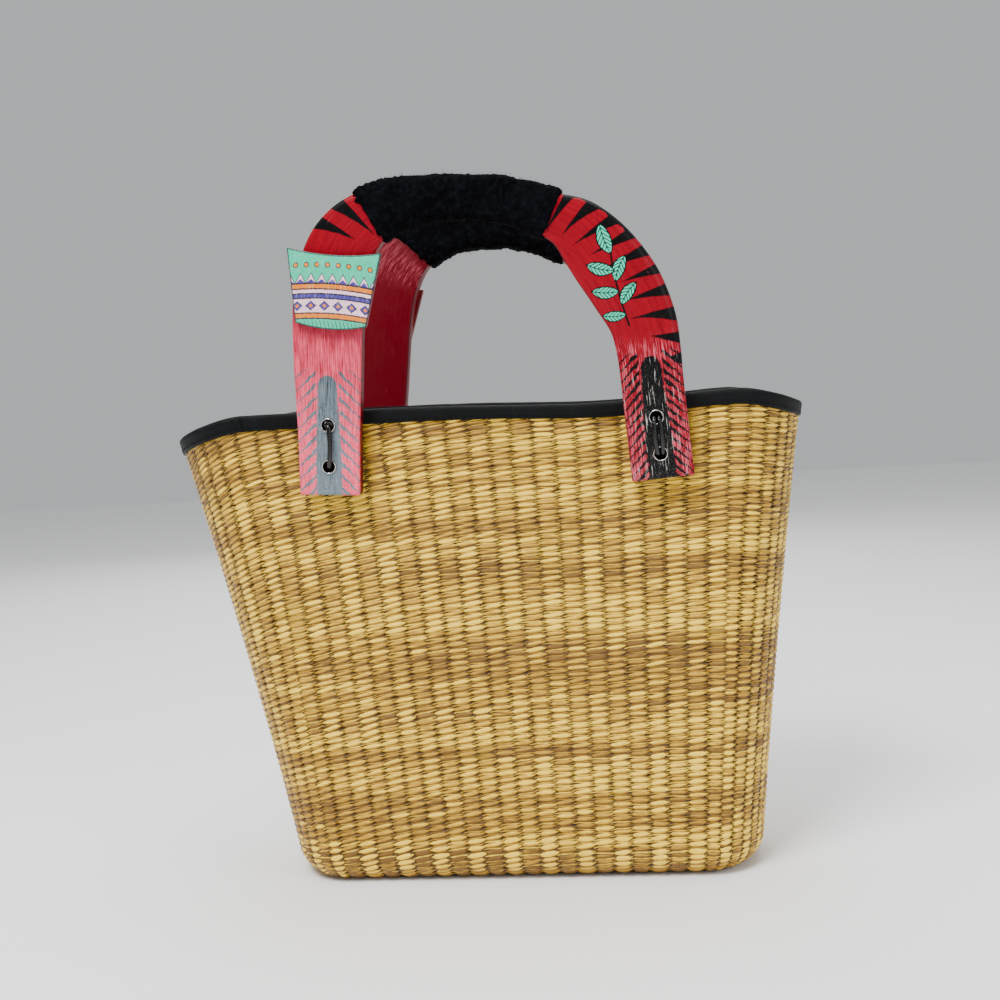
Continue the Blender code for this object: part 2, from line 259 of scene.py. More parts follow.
def readVector(tree, name):
    source = addNode(tree, "ShaderNodeAttribute", attribute_name=name).outputs["Vector"]
    split = addNode(tree, "ShaderNodeSeparateXYZ", {0: source})
    return tuple(Wire(tree, socket) for socket in split.outputs)


def readNumber(tree, name):
    return Wire(tree, addNode(tree, "ShaderNodeAttribute", attribute_name=name).outputs["Fac"])


def readPlace(tree):
    return addNode(tree, "ShaderNodeTexCoord").outputs["Object"]


def speckle(tree, place, scale, detail=2.0, roughness=0.5, distortion=0.0):
    # noise from 0 to 1 at a number of features to a unit; place is a socket or three values
    if isinstance(place, tuple):
        place = addNode(tree, "ShaderNodeCombineXYZ", dict(enumerate(place)))
    values = {"Vector": place, "Scale": scale, "Detail": detail, "Roughness": roughness,
              "Distortion": distortion}
    return Wire(tree, addNode(tree, "ShaderNodeTexNoise", values).outputs["Fac"])


def tint(tree, share, under, over):
    return addNode(tree, "ShaderNodeMix", {0: share, 6: under, 7: over}, data_type="RGBA").outputs[2]


def coat(tree, colour, *layers):
    # lays colours over one another, each by its share
    for share, shade in layers:
        colour = tint(tree, share, colour, shade)
    return colour


def fromPhoto(*shades):
    # an sRGB colour of 0 to 255 as linear numbers
    return (*(((v / 255 + 0.055) / 1.055) ** 2.4 if v > 10 else v / 255 / 12.92 for v in shades), 1.0)


# geometry nodes helpers

def newTree(name, *labels):
    # an empty tree with a geometry input and named numbers, which come back as wires
    kinds = {"Geometry": "NodeSocketGeometry", "Seed": "NodeSocketInt"}
    tree = bpy.data.node_groups.new(name, "GeometryNodeTree")
    labels = ("Geometry",) + labels
    for label in labels:
        tree.interface.new_socket(label, in_out="INPUT", socket_type=kinds.get(label, "NodeSocketFloat"))
    tree.interface.new_socket("Geometry", in_out="OUTPUT", socket_type=kinds["Geometry"])
    given = tree.nodes.new("NodeGroupInput").outputs
    return tree, {label: Wire(tree, given[label]) for label in labels}


def spreadOut(tree, points, thing, turn, scale, material):
    # the end of a tree: the thing on every point, made real and given its material
    placed = addNode(tree, "GeometryNodeInstanceOnPoints",
                     {"Points": points, "Instance": thing, "Rotation": turn, "Scale": scale})
    real = addNode(tree, "GeometryNodeRealizeInstances", {0: placed})
    painted = addNode(tree, "GeometryNodeSetMaterial", {"Geometry": real, "Material": material})
    addNode(tree, "NodeGroupOutput", {0: painted})
    return tree


# the shape of the straw wall

def wallSizes(up, inset):
    bowed = up + basket["wallBow"] * up * (1 - up)
    flared = up + basket["endBow"] * up * (1 - up)
    half = basket["mouthWidth"] / 2 - bindingStack
    depth = mix(basket["baseDepth"] / 2, basket["mouthDepth"] / 2 - bindingStack, bowed)
    return {
        "left": mix(basket["baseWidth"] / 2 - basket["baseShift"], half, flared) - inset,
        "right": mix(basket["baseWidth"] / 2 + basket["baseShift"], half, flared) - inset,
        "depth": depth - inset,
        "cornerLeft": mix(basket["baseCornerLeft"], basket["mouthCornerLeft"], up) - inset,
        "cornerRight": mix(basket["baseCornerRight"], basket["mouthCornerRight"], up) - inset,
        "cornerDepth": depth * basket["endRounding"] - inset,
    }


def rimDip(run, angle):
    sag = basket["rimSag"] * np.sin(np.pi * run ** basket["sagPower"]) ** 2
    dip = np.where(run > 0.5, basket["endDipRight"], basket["endDipLeft"])
    return sag + dip * np.sin(angle) ** basket["dipPower"]


def wallPoints(run, angle, side, height, inset):
    # run goes from left to right, angle round a corner, side is -1 in front and 1 behind
    sizes = wallSizes(height / (wallTop - rimDip(run, angle)), inset)
    right = run > 0.5
    corner = np.where(right, sizes["cornerRight"], sizes["cornerLeft"])
    straight = mix(sizes["cornerLeft"] - sizes["left"], sizes["right"] - sizes["cornerRight"], run)
    x = straight + corner * np.sin(angle) * np.where(right, 1, -1)
    y = side * (sizes["depth"] - sizes["cornerDepth"])
    y = y + np.copysign(sizes["cornerDepth"], side) * np.cos(angle)
    return np.stack([x, y, height + 0 * x], -1)


def alongEnd(share):
    # from the front corner (0) over the end (1 to 2) to the back corner (3)
    quarter = math.pi / 2
    angle = np.clip(np.minimum(share, 3 - share), 0, 1) * quarter
    side = np.clip(2 * (share - 1) - 1, -1, 1)
    return angle, side


def girth(place, up):
    # place counts the four sides: 0-1 front, 1-2 right end, 2-3 back, 3-4 left end, each evenly along itself
    place = np.asarray(place, float) % 4
    run = np.where(place < 1, place, np.where(place < 2, 1.0, np.where(place < 3, 3 - place, 0.0)))
    angle = np.zeros_like(place)
    side = np.where(place < 1, -1.0, 1.0)
    samples = np.linspace(0, 3, 61)
    for start, where, sign in ((1, 1.0, 1), (3, 0.0, -1)):
        turn, across = alongEnd(samples)
        high = up * (wallTop - rimDip(where + 0 * turn, turn))
        line = wallPoints(where + 0 * turn, turn, across, high, 0.0)
        length = np.concatenate([[0], np.cumsum(np.linalg.norm(np.diff(line, axis=0), axis=1))])
        here = (place >= start) & (place < start + 1)
        share = np.interp((place - start) * length[-1], length, samples)
        turn, across = alongEnd(share)
        angle = np.where(here, turn, angle)
        side = np.where(here, across * sign, side)
    side = np.where(np.abs(side) < 1e-9, 1e-9, side)
    return run, angle, side


def evenPlaces(count):
    return np.linspace(0, 4, count + 1)[:-1]


def wallRow(place, up, inset):
    # points of the wall at a share of its height; below 0 they turn under the lower edge
    if up >= 0:
        start = basket["baseEdge"] / wallTop
        share = mix(start, 1.0, up)
        run, angle, side = girth(place, share)
        height = share * (wallTop - rimDip(run, angle))
        low = basket["baseEdge"] - start * (wallTop - rimDip(run, angle))
        height = height + low * (1 - up)
        return wallPoints(run, angle, side, height, inset)
    edge = basket["baseEdge"] - inset
    turn = max(1 + up, 0.0) * math.pi / 2
    run, angle, side = girth(place, basket["baseEdge"] / wallTop)
    height = inset + edge * (1 - math.cos(turn)) + 0 * run
    return wallPoints(run, angle, side, height, inset + edge * (1 - math.sin(turn)))


# the straw weave

weave = {
    "columns": 76, "frontAtTop": 23, "frontAtBase": 20, "rowPitch": 0.00214,
    "grainLength": 1.34, "grainHeight": 1.08, "grainDepth": 0.00215, "sink": 0.0018, "dive": 0.0010,
    "tilt": math.radians(4.0), "leftTilt": math.radians(9.0), "tiltSpread": math.radians(5.0),
    "sizeSpread": 0.10, "seed": 7, "pitchFall": 0.175, "underBinding": 0.0045, "rowsUnder": 12,
    "basePitch": 0.0122, "backing": 0.0022, "backingWall": 0.0005, "nudge": 0.02,
    "backingStations": 160, "backingLevels": 30, "lotColumn": 0.37, "lotRow": 1.91,
}
strawColours = {
    "dark": fromPhoto(114, 78, 12), "middle": fromPhoto(184, 138, 14), "light": fromPhoto(255, 212, 56),
    "green": fromPhoto(188, 152, 8), "shade": fromPhoto(60, 38, 8),
    "gap": fromPhoto(66, 44, 24), "gapLight": fromPhoto(120, 86, 48),
}


def addSpots(found, *values):
    # place, along, outward, room, tone and lot of one grain or of a row of them
    for label, value in zip(("place", "along", "outward", "room", "tone", "lot"), values):
        found.setdefault(label, []).append(value)


def columnPlaces(columns, up):
    # where the columns stand round the wall: more of them turn the corners at the base than at the mouth
    total = weave["columns"]

    def spread(front):
        end = total / 2 - front
        shift = (weave["frontAtTop"] - front) / 2
        knots = np.array([shift, shift + front, shift + front + end, shift + 2 * front + end, shift + total])
        return np.interp((columns - shift) % total + shift, knots, [0, 1, 2, 3, 4])
    top = spread(weave["frontAtTop"])
    base = spread(weave["frontAtBase"])
    base = np.where(base - top > 2, base - 4, base)
    base = np.where(top - base > 2, base + 4, base)
    return mix(base, top, up)


def makeGrain(name, rings, sides):
    # one rice-shaped piece of straw, 2 long, 2 high and 2 deep before it is scaled
    points = []
    marks = []
    angles = [math.radians(a) for a in sides]
    for i in range(rings):
        share = mix(-0.86, 0.86, i / (rings - 1))
        swell = (1 - abs(share) ** 2.4) ** 0.76
        for angle in angles:
            lean = 0.10 * share
            points.append((share + lean * math.sin(angle), swell * math.sin(angle), swell * math.cos(angle)
                           - weave["dive"] / weave["grainDepth"] * share ** 2))
            marks.append((share, (angle if angle <= math.pi else angle - 2 * math.pi) / math.pi, 0))
    dive = -weave["dive"] / weave["grainDepth"]
    points += [(-1.04, -0.10, dive * 1.1), (1.04, 0.10, dive * 1.1)]
    marks += [(-1.0, 0, 0), (1.0, 0, 0)]
    count = len(angles)
    following = [(j, (j + 1) % count) for j in range(count)]
    faces = [(low + j, low + k, low + count + k, low + count + j)
             for low in range(0, (rings - 1) * count, count) for j, k in following]
    first, last, low = len(points) - 2, len(points) - 1, (rings - 1) * count
    for j, k in following:
        faces += [(first, k, j), (last, low + j, low + k)]
    grain = makeSkin(name, points, faces)
    setVector(grain.data, "grain", marks)
    return grain


def plaitTree(grain, material):
    # puts a grain on every point, turned to lie along its weft and scaled to its place
    tree, given = newTree("plait", "Grain length", "Grain height", "Grain depth", "Tilt", "Tilt spread",
                          "Size spread", "Seed")

    def attribute(label):
        return addNode(tree, "GeometryNodeInputNamedAttribute", {"Name": label}, data_type="FLOAT_VECTOR")

    def chance(number):
        values = {2: -1.0, 3: 1.0, "Seed": given["Seed"] + number}
        return Wire(tree, addNode(tree, "FunctionNodeRandomValue", values, data_type="FLOAT").outputs[1])

    axes = addNode(tree, "FunctionNodeAxesToRotation", {0: attribute("outward"), 1: attribute("along")},
                   primary_axis="Z", secondary_axis="X")
    sway = {2: given["Tilt"] + chance(1) * given["Tilt spread"], 0: chance(2) * given["Tilt spread"]}
    lean = addNode(tree, "FunctionNodeEulerToRotation", {0: addNode(tree, "ShaderNodeCombineXYZ", sway)})
    turn = addNode(tree, "FunctionNodeRotateRotation", {0: axes, 1: lean}, rotation_space="LOCAL")
    room = addNode(tree, "ShaderNodeSeparateXYZ", {0: attribute("room")})
    scale = {2: given["Grain depth"]}
    for number, label in enumerate(("Grain length", "Grain height")):
        full = Wire(tree, room.outputs[number]) * 0.5 * given[label]
        scale[number] = full * (chance(3 + number) * given["Size spread"] + 1.0)
    source = addNode(tree, "GeometryNodeObjectInfo", {"Object": grain}).outputs["Geometry"]
    scale = addNode(tree, "ShaderNodeCombineXYZ", scale)
    return spreadOut(tree, given["Geometry"], source, turn, scale, material)


def plait(name, spots, tree, material, flip=False):
    # spots is a dictionary of arrays: place, along, outward, room, tone and lot
    mesh = bpy.data.meshes.new(name + "_spots")
    mesh.from_pydata([tuple(p) for p in spots["place"]], [], [])
    for label in ("along", "outward", "room"):
        setVector(mesh, label, spots[label])
    for label in ("tone", "lot"):
        setNumber(mesh, label, spots[label])
    return growPiece(name, mesh, tree, {
        "Grain length": weave["grainLength"], "Grain height": weave["grainHeight"],
        "Grain depth": weave["grainDepth"], "Tilt": -weave["tilt"] if flip else weave["tilt"],
        "Tilt spread": weave["tiltSpread"], "Size spread": weave["sizeSpread"], "Seed": weave["seed"],
    }, material)


def smoothNoise(shape, reach, random):
    # random numbers of about -1 to 1 that change slowly: reach is the blur in rows and columns
    field = random.standard_normal(shape)
    for axis, size in enumerate(reach):
        steps = np.arange(-int(3 * size) - 1, int(3 * size) + 2)
        weights = np.exp(-0.5 * (steps / max(size, 0.01)) ** 2)
        field = sum(weight * np.roll(field, step, axis) for step, weight in zip(steps, weights))
    return field / field.std()


def strawTones(rows, columns, seed):
    # two wefts take turns, so each has its own tone, and light lengths show in every second column
    random = np.random.default_rng(seed)
    tones = np.zeros((rows, columns))
    for turn in (0, 1):
        count = (rows - turn + 1) // 2
        slow = smoothNoise((count, columns), (1.3, 9.0), random)
        single = smoothNoise((count, columns), (0.01, 14.0), random)
        tones[turn::2] = 0.75 * slow + 0.55 * single
    tones += 0.38 * random.standard_normal((rows, columns))
    return 0.5 + 0.22 * tones


def wallSpots(inset, inward, rowsUnder):
    # places of all the grains on one face of the wall
    columns = np.arange(weave["columns"], dtype=float)
    wallRows = int((wallTop - basket["baseEdge"]) / weave["rowPitch"])
    edgeRows = int(basket["baseEdge"] * math.pi / 2 / weave["rowPitch"])
    levels = [-(i + 0.5) / edgeRows for i in range(rowsUnder)][::-1]
    fall = weave["pitchFall"]
    shares = [(i + 0.5) / wallRows for i in range(wallRows)]
    levels += [share * (1 + fall - fall * share) for share in shares]
    levels = [level for level in levels if level < 1 - weave["underBinding"] / wallTop]
    tones = strawTones(edgeRows + wallRows + 1, weave["columns"], weave["seed"])
    found = {}
    for number, level in enumerate(levels):
        row = number + edgeRows - rowsUnder
        mine = (columns + row + inward) % 2 == 0
        chosen = columns[mine]
        share = max(level, 0.0)
        middle = columnPlaces(chosen, share)
        pitch = (columnPlaces(chosen + 0.5, share) - columnPlaces(chosen - 0.5, share)) % 4
        here = wallRow(middle, level, inset)
        ahead = wallRow(middle + weave["nudge"], level, inset)
        behind = wallRow(middle - weave["nudge"], level, inset)
        rise = min(level + 0.01, 1.0)
        up = wallRow(middle, rise, inset) - wallRow(middle, level - 0.01, inset)
        along = unit(ahead - behind)
        outward = unit(np.cross(along, up))
        # towards the left end the straw slants more
        leftward = np.clip(0.5 - here[:, 0] / 0.24, 0, 1)[:, None]
        lift = weave["leftTilt"] * leftward ** 2 * (3 - 2 * leftward)
        along = along * np.cos(lift) + np.cross(outward, along) * np.sin(lift)
        ends = wallRow(middle + pitch / 2, level, inset) - wallRow(middle - pitch / 2, level, inset)
        room = np.zeros_like(here)
        room[:, 0] = np.linalg.norm(ends, axis=1)
        room[:, 1] = 2 * weave["rowPitch"] * (1 + fall - 2 * fall * share)
        if inward:
            along, outward = -along, -outward
        addSpots(found, here - outward * weave["sink"], along, outward, room, tones[row][mine],
                 chosen * weave["lotColumn"] + row * weave["lotRow"])
    return {label: np.concatenate(parts) for label, parts in found.items()}


def baseSpots(level, downward):
    # places of the grains on the flat base, in straight rows from end to end
    pitch = weave["basePitch"]
    edge = basket["baseEdge"] - 0.001
    sizes = wallSizes(0.0, edge)
    rows = int(2 * sizes["depth"] / weave["rowPitch"])
    columns = int((sizes["left"] + sizes["right"]) / pitch)
    tones = strawTones(rows, columns, weave["seed"] + 3)
    found = {}
    for row in range(rows):
        y = -sizes["depth"] + (row + 0.5) / rows * 2 * sizes["depth"]
        for column in range(columns):
            if (column + row + downward) % 2:
                continue
            x = -sizes["left"] + (column + 0.5) / columns * (sizes["left"] + sizes["right"])
            corner = sizes["cornerRight"] if x > 0 else sizes["cornerLeft"]
            reach = (sizes["right"] if x > 0 else sizes["left"]) - corner
            over = max(abs(x) - reach, 0) / corner
            deep = max(abs(y) - (sizes["depth"] - sizes["cornerDepth"]), 0) / sizes["cornerDepth"]
            if over ** 2 + deep ** 2 > 1.0:
                continue
            out = -1.0 if downward else 1.0
            addSpots(found, (x, y, level - out * weave["sink"]), (1, 0, 0), (0, 0, out),
                     (pitch, 2 * weave["rowPitch"], 0), tones[row][column],
                     column * weave["lotColumn"] + row * weave["lotRow"])
    return {label: np.array(values, float) for label, values in found.items()}


def pick(spots, mask):
    return {label: values[mask] for label, values in spots.items()}


def strawMaterial():
    material, tree = newMaterial("straw_grain", Roughness=0.5, Specular_IOR_Level=0.42)
    lot = readNumber(tree, "lot")
    along, around, _ = readVector(tree, "grain")
    place = readPlace(tree)
    fibres = speckle(tree, (along * 0.5 + lot, around * 3.4 + along * 0.5, lot * 3.1), 1.6, 5.0, 0.66)
    blotch = speckle(tree, place, 95.0, 3.0, 0.6)
    wide = speckle(tree, place, 9.0)
    greenish = speckle(tree, place, 22.0)
    ridgeHighlight = (around - 0.08).size().ramp(0.02, 0.30, 0.20, -0.16)  # a painted highlight along the back of every grain, with painted shade on its flanks
    # the around term paints the upper side of every grain lighter and its lower side darker, as painted light
    # from above
    shade = readNumber(tree, "tone") + (fibres - 0.5) * 1.05 + (blotch - 0.5) * 0.55
    shade = shade + (wide - 0.5) * 0.25 + ridgeHighlight + around * 0.4 - 0.01
    # painted shade: darker at the grain tips, where they dive into the weave, and along the grain edges between
    # neighbours
    tipShade = along.size().ramp(0.84, 1.0, 0.0, 0.46)
    edges = around.size().ramp(0.29, 0.46) * along.size().ramp(0.05, 0.62, 0.62, 0.94)
    colour = coat(tree, strawColours["dark"],
                  (shade.ramp(0.16, 0.53), strawColours["middle"]),
                  (shade.ramp(0.53, 0.93), strawColours["light"]),
                  (greenish.ramp(0.58, 0.78, 0.0, 0.45), strawColours["green"]),
                  (tipShade.most(edges), strawColours["shade"]))
    return finishLook(material, colour, fibres + blotch * 0.4, 0.0006, fibres.ramp(0.2, 0.8, 0.36, 0.60))


def backingMaterial():
    # the dark browns of this sheet are painted shade between the grains
    material, tree = newMaterial("straw_shade", Roughness=0.9, Specular_IOR_Level=0.1)
    drawn = addNode(tree, "ShaderNodeMapping", {"Vector": readPlace(tree), "Scale": (0.12, 0.12, 1.0)})
    weft = speckle(tree, drawn, 240.0)
    colour = tint(tree, weft.ramp(0.3, 0.75), strawColours["gap"], strawColours["gapLight"])
    return finishLook(material, colour, weft, 0.0005)


def makeBacking(material):
    # the body of the wall that shows between the grains, coloured dark as painted shade
    places = evenPlaces(weave["backingStations"])
    levels = [-1.0, -0.66, -0.33] + list(np.linspace(0.0, 1.0, weave["backingLevels"]))
    outer, inner = ([wallRow(places, level, weave["backing"] + half) for level in levels]
                    for half in (-weave["backingWall"] / 2, weave["backingWall"] / 2))
    return makeSkin("straw_body", *skin(outer + inner[::-1]), material)


def makeStraw():
    straw = strawMaterial()
    grains = [makeGrain("grain_outside", 5, (0, 42, 96, 180, 264, 318)),
              makeGrain("grain_inside", 3, (0, 68, 142, 218, 292))]
    fine, coarse = (plaitTree(grain, straw) for grain in grains)
    outside = wallSpots(0.0, 0, weave["rowsUnder"])
    front = outside["place"][:, 1] < 0
    inside = wallSpots(basket["wall"], 1, weave["rowsUnder"] // 2)
    pieces = [plait("straw_weave_front", pick(outside, front), fine, straw),
              plait("straw_weave_back", pick(outside, ~front), fine, straw),
              plait("straw_weave_inside", inside, coarse, straw, flip=True),
              plait("straw_weave_under", baseSpots(0.0, 1), coarse, straw),
              plait("straw_weave_floor", baseSpots(basket["wall"], 0), coarse, straw)]
    for grain in grains:
        bpy.data.objects.remove(grain)
    for piece in pieces + [makeBacking(backingMaterial())]:
        finishPiece(piece, "straw", "basket_body")


makeStraw()

# cloth binding on the rim

binding = {
    "height": 0.0100, "cloth": 0.0013, "topRound": 0.0030, "stations": 560, "wrinkle": 0.00035,
    "endTaller": 0.14, "strip": (0.024, 1.07), "threadsPerMetre": 2600.0,
    "tallerAt": ((-0.2, 1.0), (-0.1, 0.5), (0.02, -0.6), (0.1, 0.2), (0.2, 0.6)),  # x and share of endTaller
    "colour": fromPhoto(3, 4, 5), "worn": fromPhoto(13, 15, 18),
    "threadColours": (fromPhoto(2, 2, 3), fromPhoto(9, 10, 13)),
    "stitch": 0.0034, "stitchGap": 0.0046, "stitchFromEdge": 0.0022, "thread": 0.00022, "stitchStations": 400,
}


def rimPoint(places, drop, inset):
    run, angle, side = girth(places, 1.0)
    top = basket["height"] - rimDip(run, angle)
    across = wallPoints(run, angle, side, top, inset)[:, 0]
    taller = 1 + binding["endTaller"] * np.interp(across, *zip(*binding["tallerAt"]))
    return wallPoints(run, angle, side, top - drop * taller, inset)


def bindingSection():
    # drop below the rim's top and inset from the straw's outer face, from the outer hem over the top and back
    outside = -bindingStack
    inside = basket["wall"] + bindingStack
    middle = (outside + inside) / 2
    half = (inside - outside) / 2
    height, cloth, turn = binding["height"], binding["cloth"], binding["topRound"]
    path = [(height - 0.0002, outside + cloth * 0.7), (height, outside + 0.0004), (height - 0.0005, outside)]
    path += [(mix(height - 0.0018, turn, i / 5), outside) for i in range(6)]
    for i in range(1, 10):
        angle = i / 10 * math.pi
        path.append((turn * (1 - math.sin(angle)), middle - half * math.cos(angle)))
    path += [(mix(turn, height - 0.0018, i / 5), inside) for i in range(6)]
    path += [(height - 0.0005, inside), (height, inside - 0.0004), (height - 0.0002, inside - cloth * 0.7)]
    back = [(height, inside - cloth), (cloth + 0.001, inside - cloth), (cloth + 0.001, outside + cloth),
            (height, outside + cloth)]
    return path, back


def clothMaterial():
    material, tree = newMaterial("binding_cloth", Roughness=0.5, Specular_IOR_Level=0.12)
    along, across, _ = readVector(tree, "weaveMap")
    warp = (along * binding["threadsPerMetre"] * math.pi).wave()
    weft = (across * binding["threadsPerMetre"] * math.pi).wave()
    threads = (warp * weft).size() * 0.6 + warp.size() * 0.4
    place = readPlace(tree)
    worn = speckle(tree, place, 60.0, 4.0, 0.62)
    lint = speckle(tree, place, 900.0, 2.0, 0.6)
    share = worn.ramp(0.45, 0.75, 0.0, 0.55) + lint.ramp(0.66, 0.74, 0.0, 0.5)
    folds = speckle(tree, (along, across * 0.35, 0.0), 110.0, 3.0, 0.55)
    colour = tint(tree, share.held(), binding["colour"], binding["worn"])
    return finishLook(material, colour, folds + threads * 0.10, 0.0009)


def threadMaterial():
    material, tree = newMaterial("binding_thread", Roughness=0.8, Specular_IOR_Level=0.08)
    twist = speckle(tree, readPlace(tree), 1400.0, 1.0)
    return finishLook(material, tint(tree, twist, *binding["threadColours"]), twist, 0.0002)


def makeBinding():
    places = evenPlaces(binding["stations"])
    path, back = bindingSection()
    rings = []
    marks = []
    length = np.cumsum(np.linalg.norm(np.diff(rimPoint(np.append(places, 4.0), 0.0, 0.0), axis=0), axis=1))
    length = np.concatenate([[0], length[:-1]])
    travelled = 0.0
    before = path[0]
    for number, (drop, inset) in enumerate(path + back):
        travelled += math.hypot(drop - before[0], inset - before[1])
        before = (drop, inset)
        ring = rimPoint(places, drop, inset)
        if number < len(path):
            # small puckers that only go inwards, deepest between the hems
            middle = rimPoint(places, binding["height"] * 0.5, basket["wall"] / 2)
            inward = unit(middle - ring)
            for i, point in enumerate(ring):
                spot = Vector((point[0] * 60, point[1] * 60, drop * 220 + inset * 160))
                wave = 0.5 + 0.5 * noise.noise(spot) + 0.25 * noise.noise(spot * 2.3)
                ring[i] = point + inward[i] * binding["wrinkle"] * max(wave, 0)
        rings.append(ring)
        marks.append(np.stack([length, np.full(len(places), travelled), 0 * length], -1))
    band = makeSkin("rim_cloth", *skin(rings, closed=True), clothMaterial())
    setVector(band.data, "weaveMap", np.concatenate(marks))
    return band


def stitchTree(material):
    # lays short stitches along a line: the line is cut into steps, each with one thread on it
    tree, given = newTree("stitches", "Step", "Stitch length", "Thread")
    line = addNode(tree, "GeometryNodeMeshToCurve", {0: given["Geometry"]})
    spots = addNode(tree, "GeometryNodeCurveToPoints", {"Curve": line, "Length": given["Step"]}, mode="LENGTH")
    ball = addNode(tree, "GeometryNodeMeshUVSphere", {"Segments": 6, "Rings": 4, "Radius": 1.0})
    scale = addNode(tree, "ShaderNodeCombineXYZ",
                    {0: given["Thread"], 1: given["Thread"], 2: given["Stitch length"] * 0.5})
    return spreadOut(tree, spots.outputs["Points"], ball, spots.outputs["Rotation"], scale, material)


def makeStitches():
    material = threadMaterial()
    places = evenPlaces(binding["stitchStations"])
    drop = binding["height"] - binding["stitchFromEdge"]
    points, edges = [], []
    count = len(places)
    for first, inset in ((0, -bindingStack), (count, basket["wall"] + bindingStack)):
        points += [tuple(p) for p in rimPoint(places, drop, inset)]
        edges += [(first + i, first + (i + 1) % count) for i in range(count)]
    mesh = bpy.data.meshes.new("stitch_line")
    mesh.from_pydata(points, edges, [])
    return growPiece("rim_stitches", mesh, stitchTree(material), {
        "Step": binding["stitchGap"], "Stitch length": binding["stitch"], "Thread": binding["thread"],
    }, material)


band = makeBinding()
seam = makeStitches()
finishPiece(band, "binding_cloth", "rim_binding")
finishPiece(seam, "binding_cloth")
print("bag: rim is bound")


# wooden handles

handle = {
    "thickness": 0.014, "legSpacing": 0.2214, "legWidth": 0.041, "rise": 0.201, "drop": 0.055, "offset": 0.0130,
    "edgeRound": 0.0018, "shoulderChamfer": 0.0045, "stationsPerRow": 9, "roundSteps": 4, "unevenness": 0.00022,
    "eyelets": {"left": (0.35, 0.85), "right": (0.30, 0.735)}, "legRows": 3, "hole": 0.0090,
}
arch = [dict(zip(("across", "up", "width", "chamfer"), row)) for row in (
    (-1.000, 0.000, 1.00, 0.00), (-0.975, 0.220, 1.03, 0.00), (-0.950, 0.430, 1.11, 0.10),
    (-0.925, 0.590, 1.15, 0.20), (-0.880, 0.715, 1.15, 0.30), (-0.785, 0.822, 1.07, 0.40),
    (-0.630, 0.894, 0.87, 0.40), (-0.420, 0.932, 0.63, 0.20), (-0.180, 0.937, 0.54, 0.00),
    (0.050, 0.930, 0.53, 0.00), (0.260, 0.901, 0.58, 0.10), (0.435, 0.860, 0.71, 0.40),
    (0.575, 0.815, 0.92, 0.80), (0.705, 0.731, 1.11, 1.00), (0.835, 0.620, 1.15, 1.00),
    (0.922, 0.514, 1.06, 0.90), (0.952, 0.410, 1.01, 0.60), (0.965, 0.290, 0.99, 0.20),
    (1.000, 0.000, 1.00, 0.00))]
lastRow = len(arch) - 1
tangentStep = 0.05


def wallFace(height):
    return float(wallSizes(height / (wallTop - basket["rimSag"]), 0.0)["depth"])


def handleFrame(side):
    foot = basket["height"] - handle["drop"]
    edge = basket["height"] - binding["height"]
    lean = math.atan2(wallFace(edge) + bindingStack - wallFace(foot), edge - foot)
    across = Vector((1, 0, 0))
    out = Vector((0, side * math.cos(lean), -math.sin(lean)))
    up = Vector((0, side * math.sin(lean), math.cos(lean)))
    matrix = Matrix((across, out, up)).transposed().to_4x4()
    matrix.translation = Vector((handle["offset"], side * (wallFace(foot) + gap), foot))
    return matrix


def archRow(position):
    index = min(int(position), lastRow - 1)
    t = position - index
    row = {}
    for column in arch[0]:
        p0 = arch[max(index - 1, 0)][column]
        p1 = arch[index][column]
        p2 = arch[index + 1][column]
        p3 = arch[min(index + 2, lastRow)][column]
        slopeA = (p2 - p0) / 2
        slopeB = (p3 - p1) / 2
        bend = 3 * (p2 - p1) - 2 * slopeA - slopeB
        twist = 2 * (p1 - p2) + slopeA + slopeB
        row[column] = p1 + t * (slopeA + t * (bend + t * twist))
    return row


def archCentre(position):
    row = archRow(position)
    return Vector((row["across"] * handle["legSpacing"] / 2, 0, row["up"] * handle["rise"]))


def archCore(position):
    # the middle of the board's section
    return archCentre(position) + Vector((0, handle["thickness"] / 2, 0))


def archOutward(position):
    along = archCentre(min(position + tangentStep, lastRow)) - archCentre(max(position - tangentStep, 0))
    along.normalize()
    return Vector((-along.z, 0, along.x))


def archSection(position, grow, steps, innerRound, outerRound, shift=0.0):
    centre = archCentre(position)
    outward = archOutward(position)
    half = archRow(position)["width"] * handle["legWidth"] / 2 + grow
    low, high = -grow, handle["thickness"] + grow
    corners = ((half, low, -1, 1, innerRound), (half, high, -1, -1, outerRound),
               (-half, high, 1, -1, innerRound), (-half, low, 1, 1, innerRound))
    along = Vector((outward.z, 0, -outward.x))
    points = []
    for number, (side, depth, turnSide, turnDepth, radius) in enumerate(corners):
        arc = []
        for i in range(steps + 1):
            angle = i / steps * math.pi / 2
            a = side + turnSide * radius * (1 - math.cos(angle))
            b = depth + turnDepth * radius * (1 - math.sin(angle))
            arc.append(centre + outward * a + Vector((0, b, 0)) + along * shift)
        points += arc if number % 2 else arc[::-1]
    return points


def legCentre(side, rise):
    near, far = (0, handle["legRows"]) if side == "left" else (lastRow, lastRow - handle["legRows"])
    for _ in range(30):
        middle = (near + far) / 2
        if archCentre(middle).z < rise:
            near = middle
        else:
            far = middle
    return archCentre(near)


def eyeletPlaces():
    found = []
    for side, (lower, upper) in handle["eyelets"].items():
        for level, share in (("upper", upper), ("lower", lower)):
            found.append((side, level, legCentre(side, share * handle["drop"])))
    return found


runSteps = 40  # steps of the arch's length table to one of its rows
positions = [i / runSteps for i in range(lastRow * runSteps + 1)]
centreLine = [archCentre(position) for position in positions]
centreTurn = [archOutward(position) for position in positions]
centreRun = np.concatenate([[0], np.cumsum([(b - a).length for a, b in zip(centreLine, centreLine[1:])])])
handleLength = float(centreRun[-1])


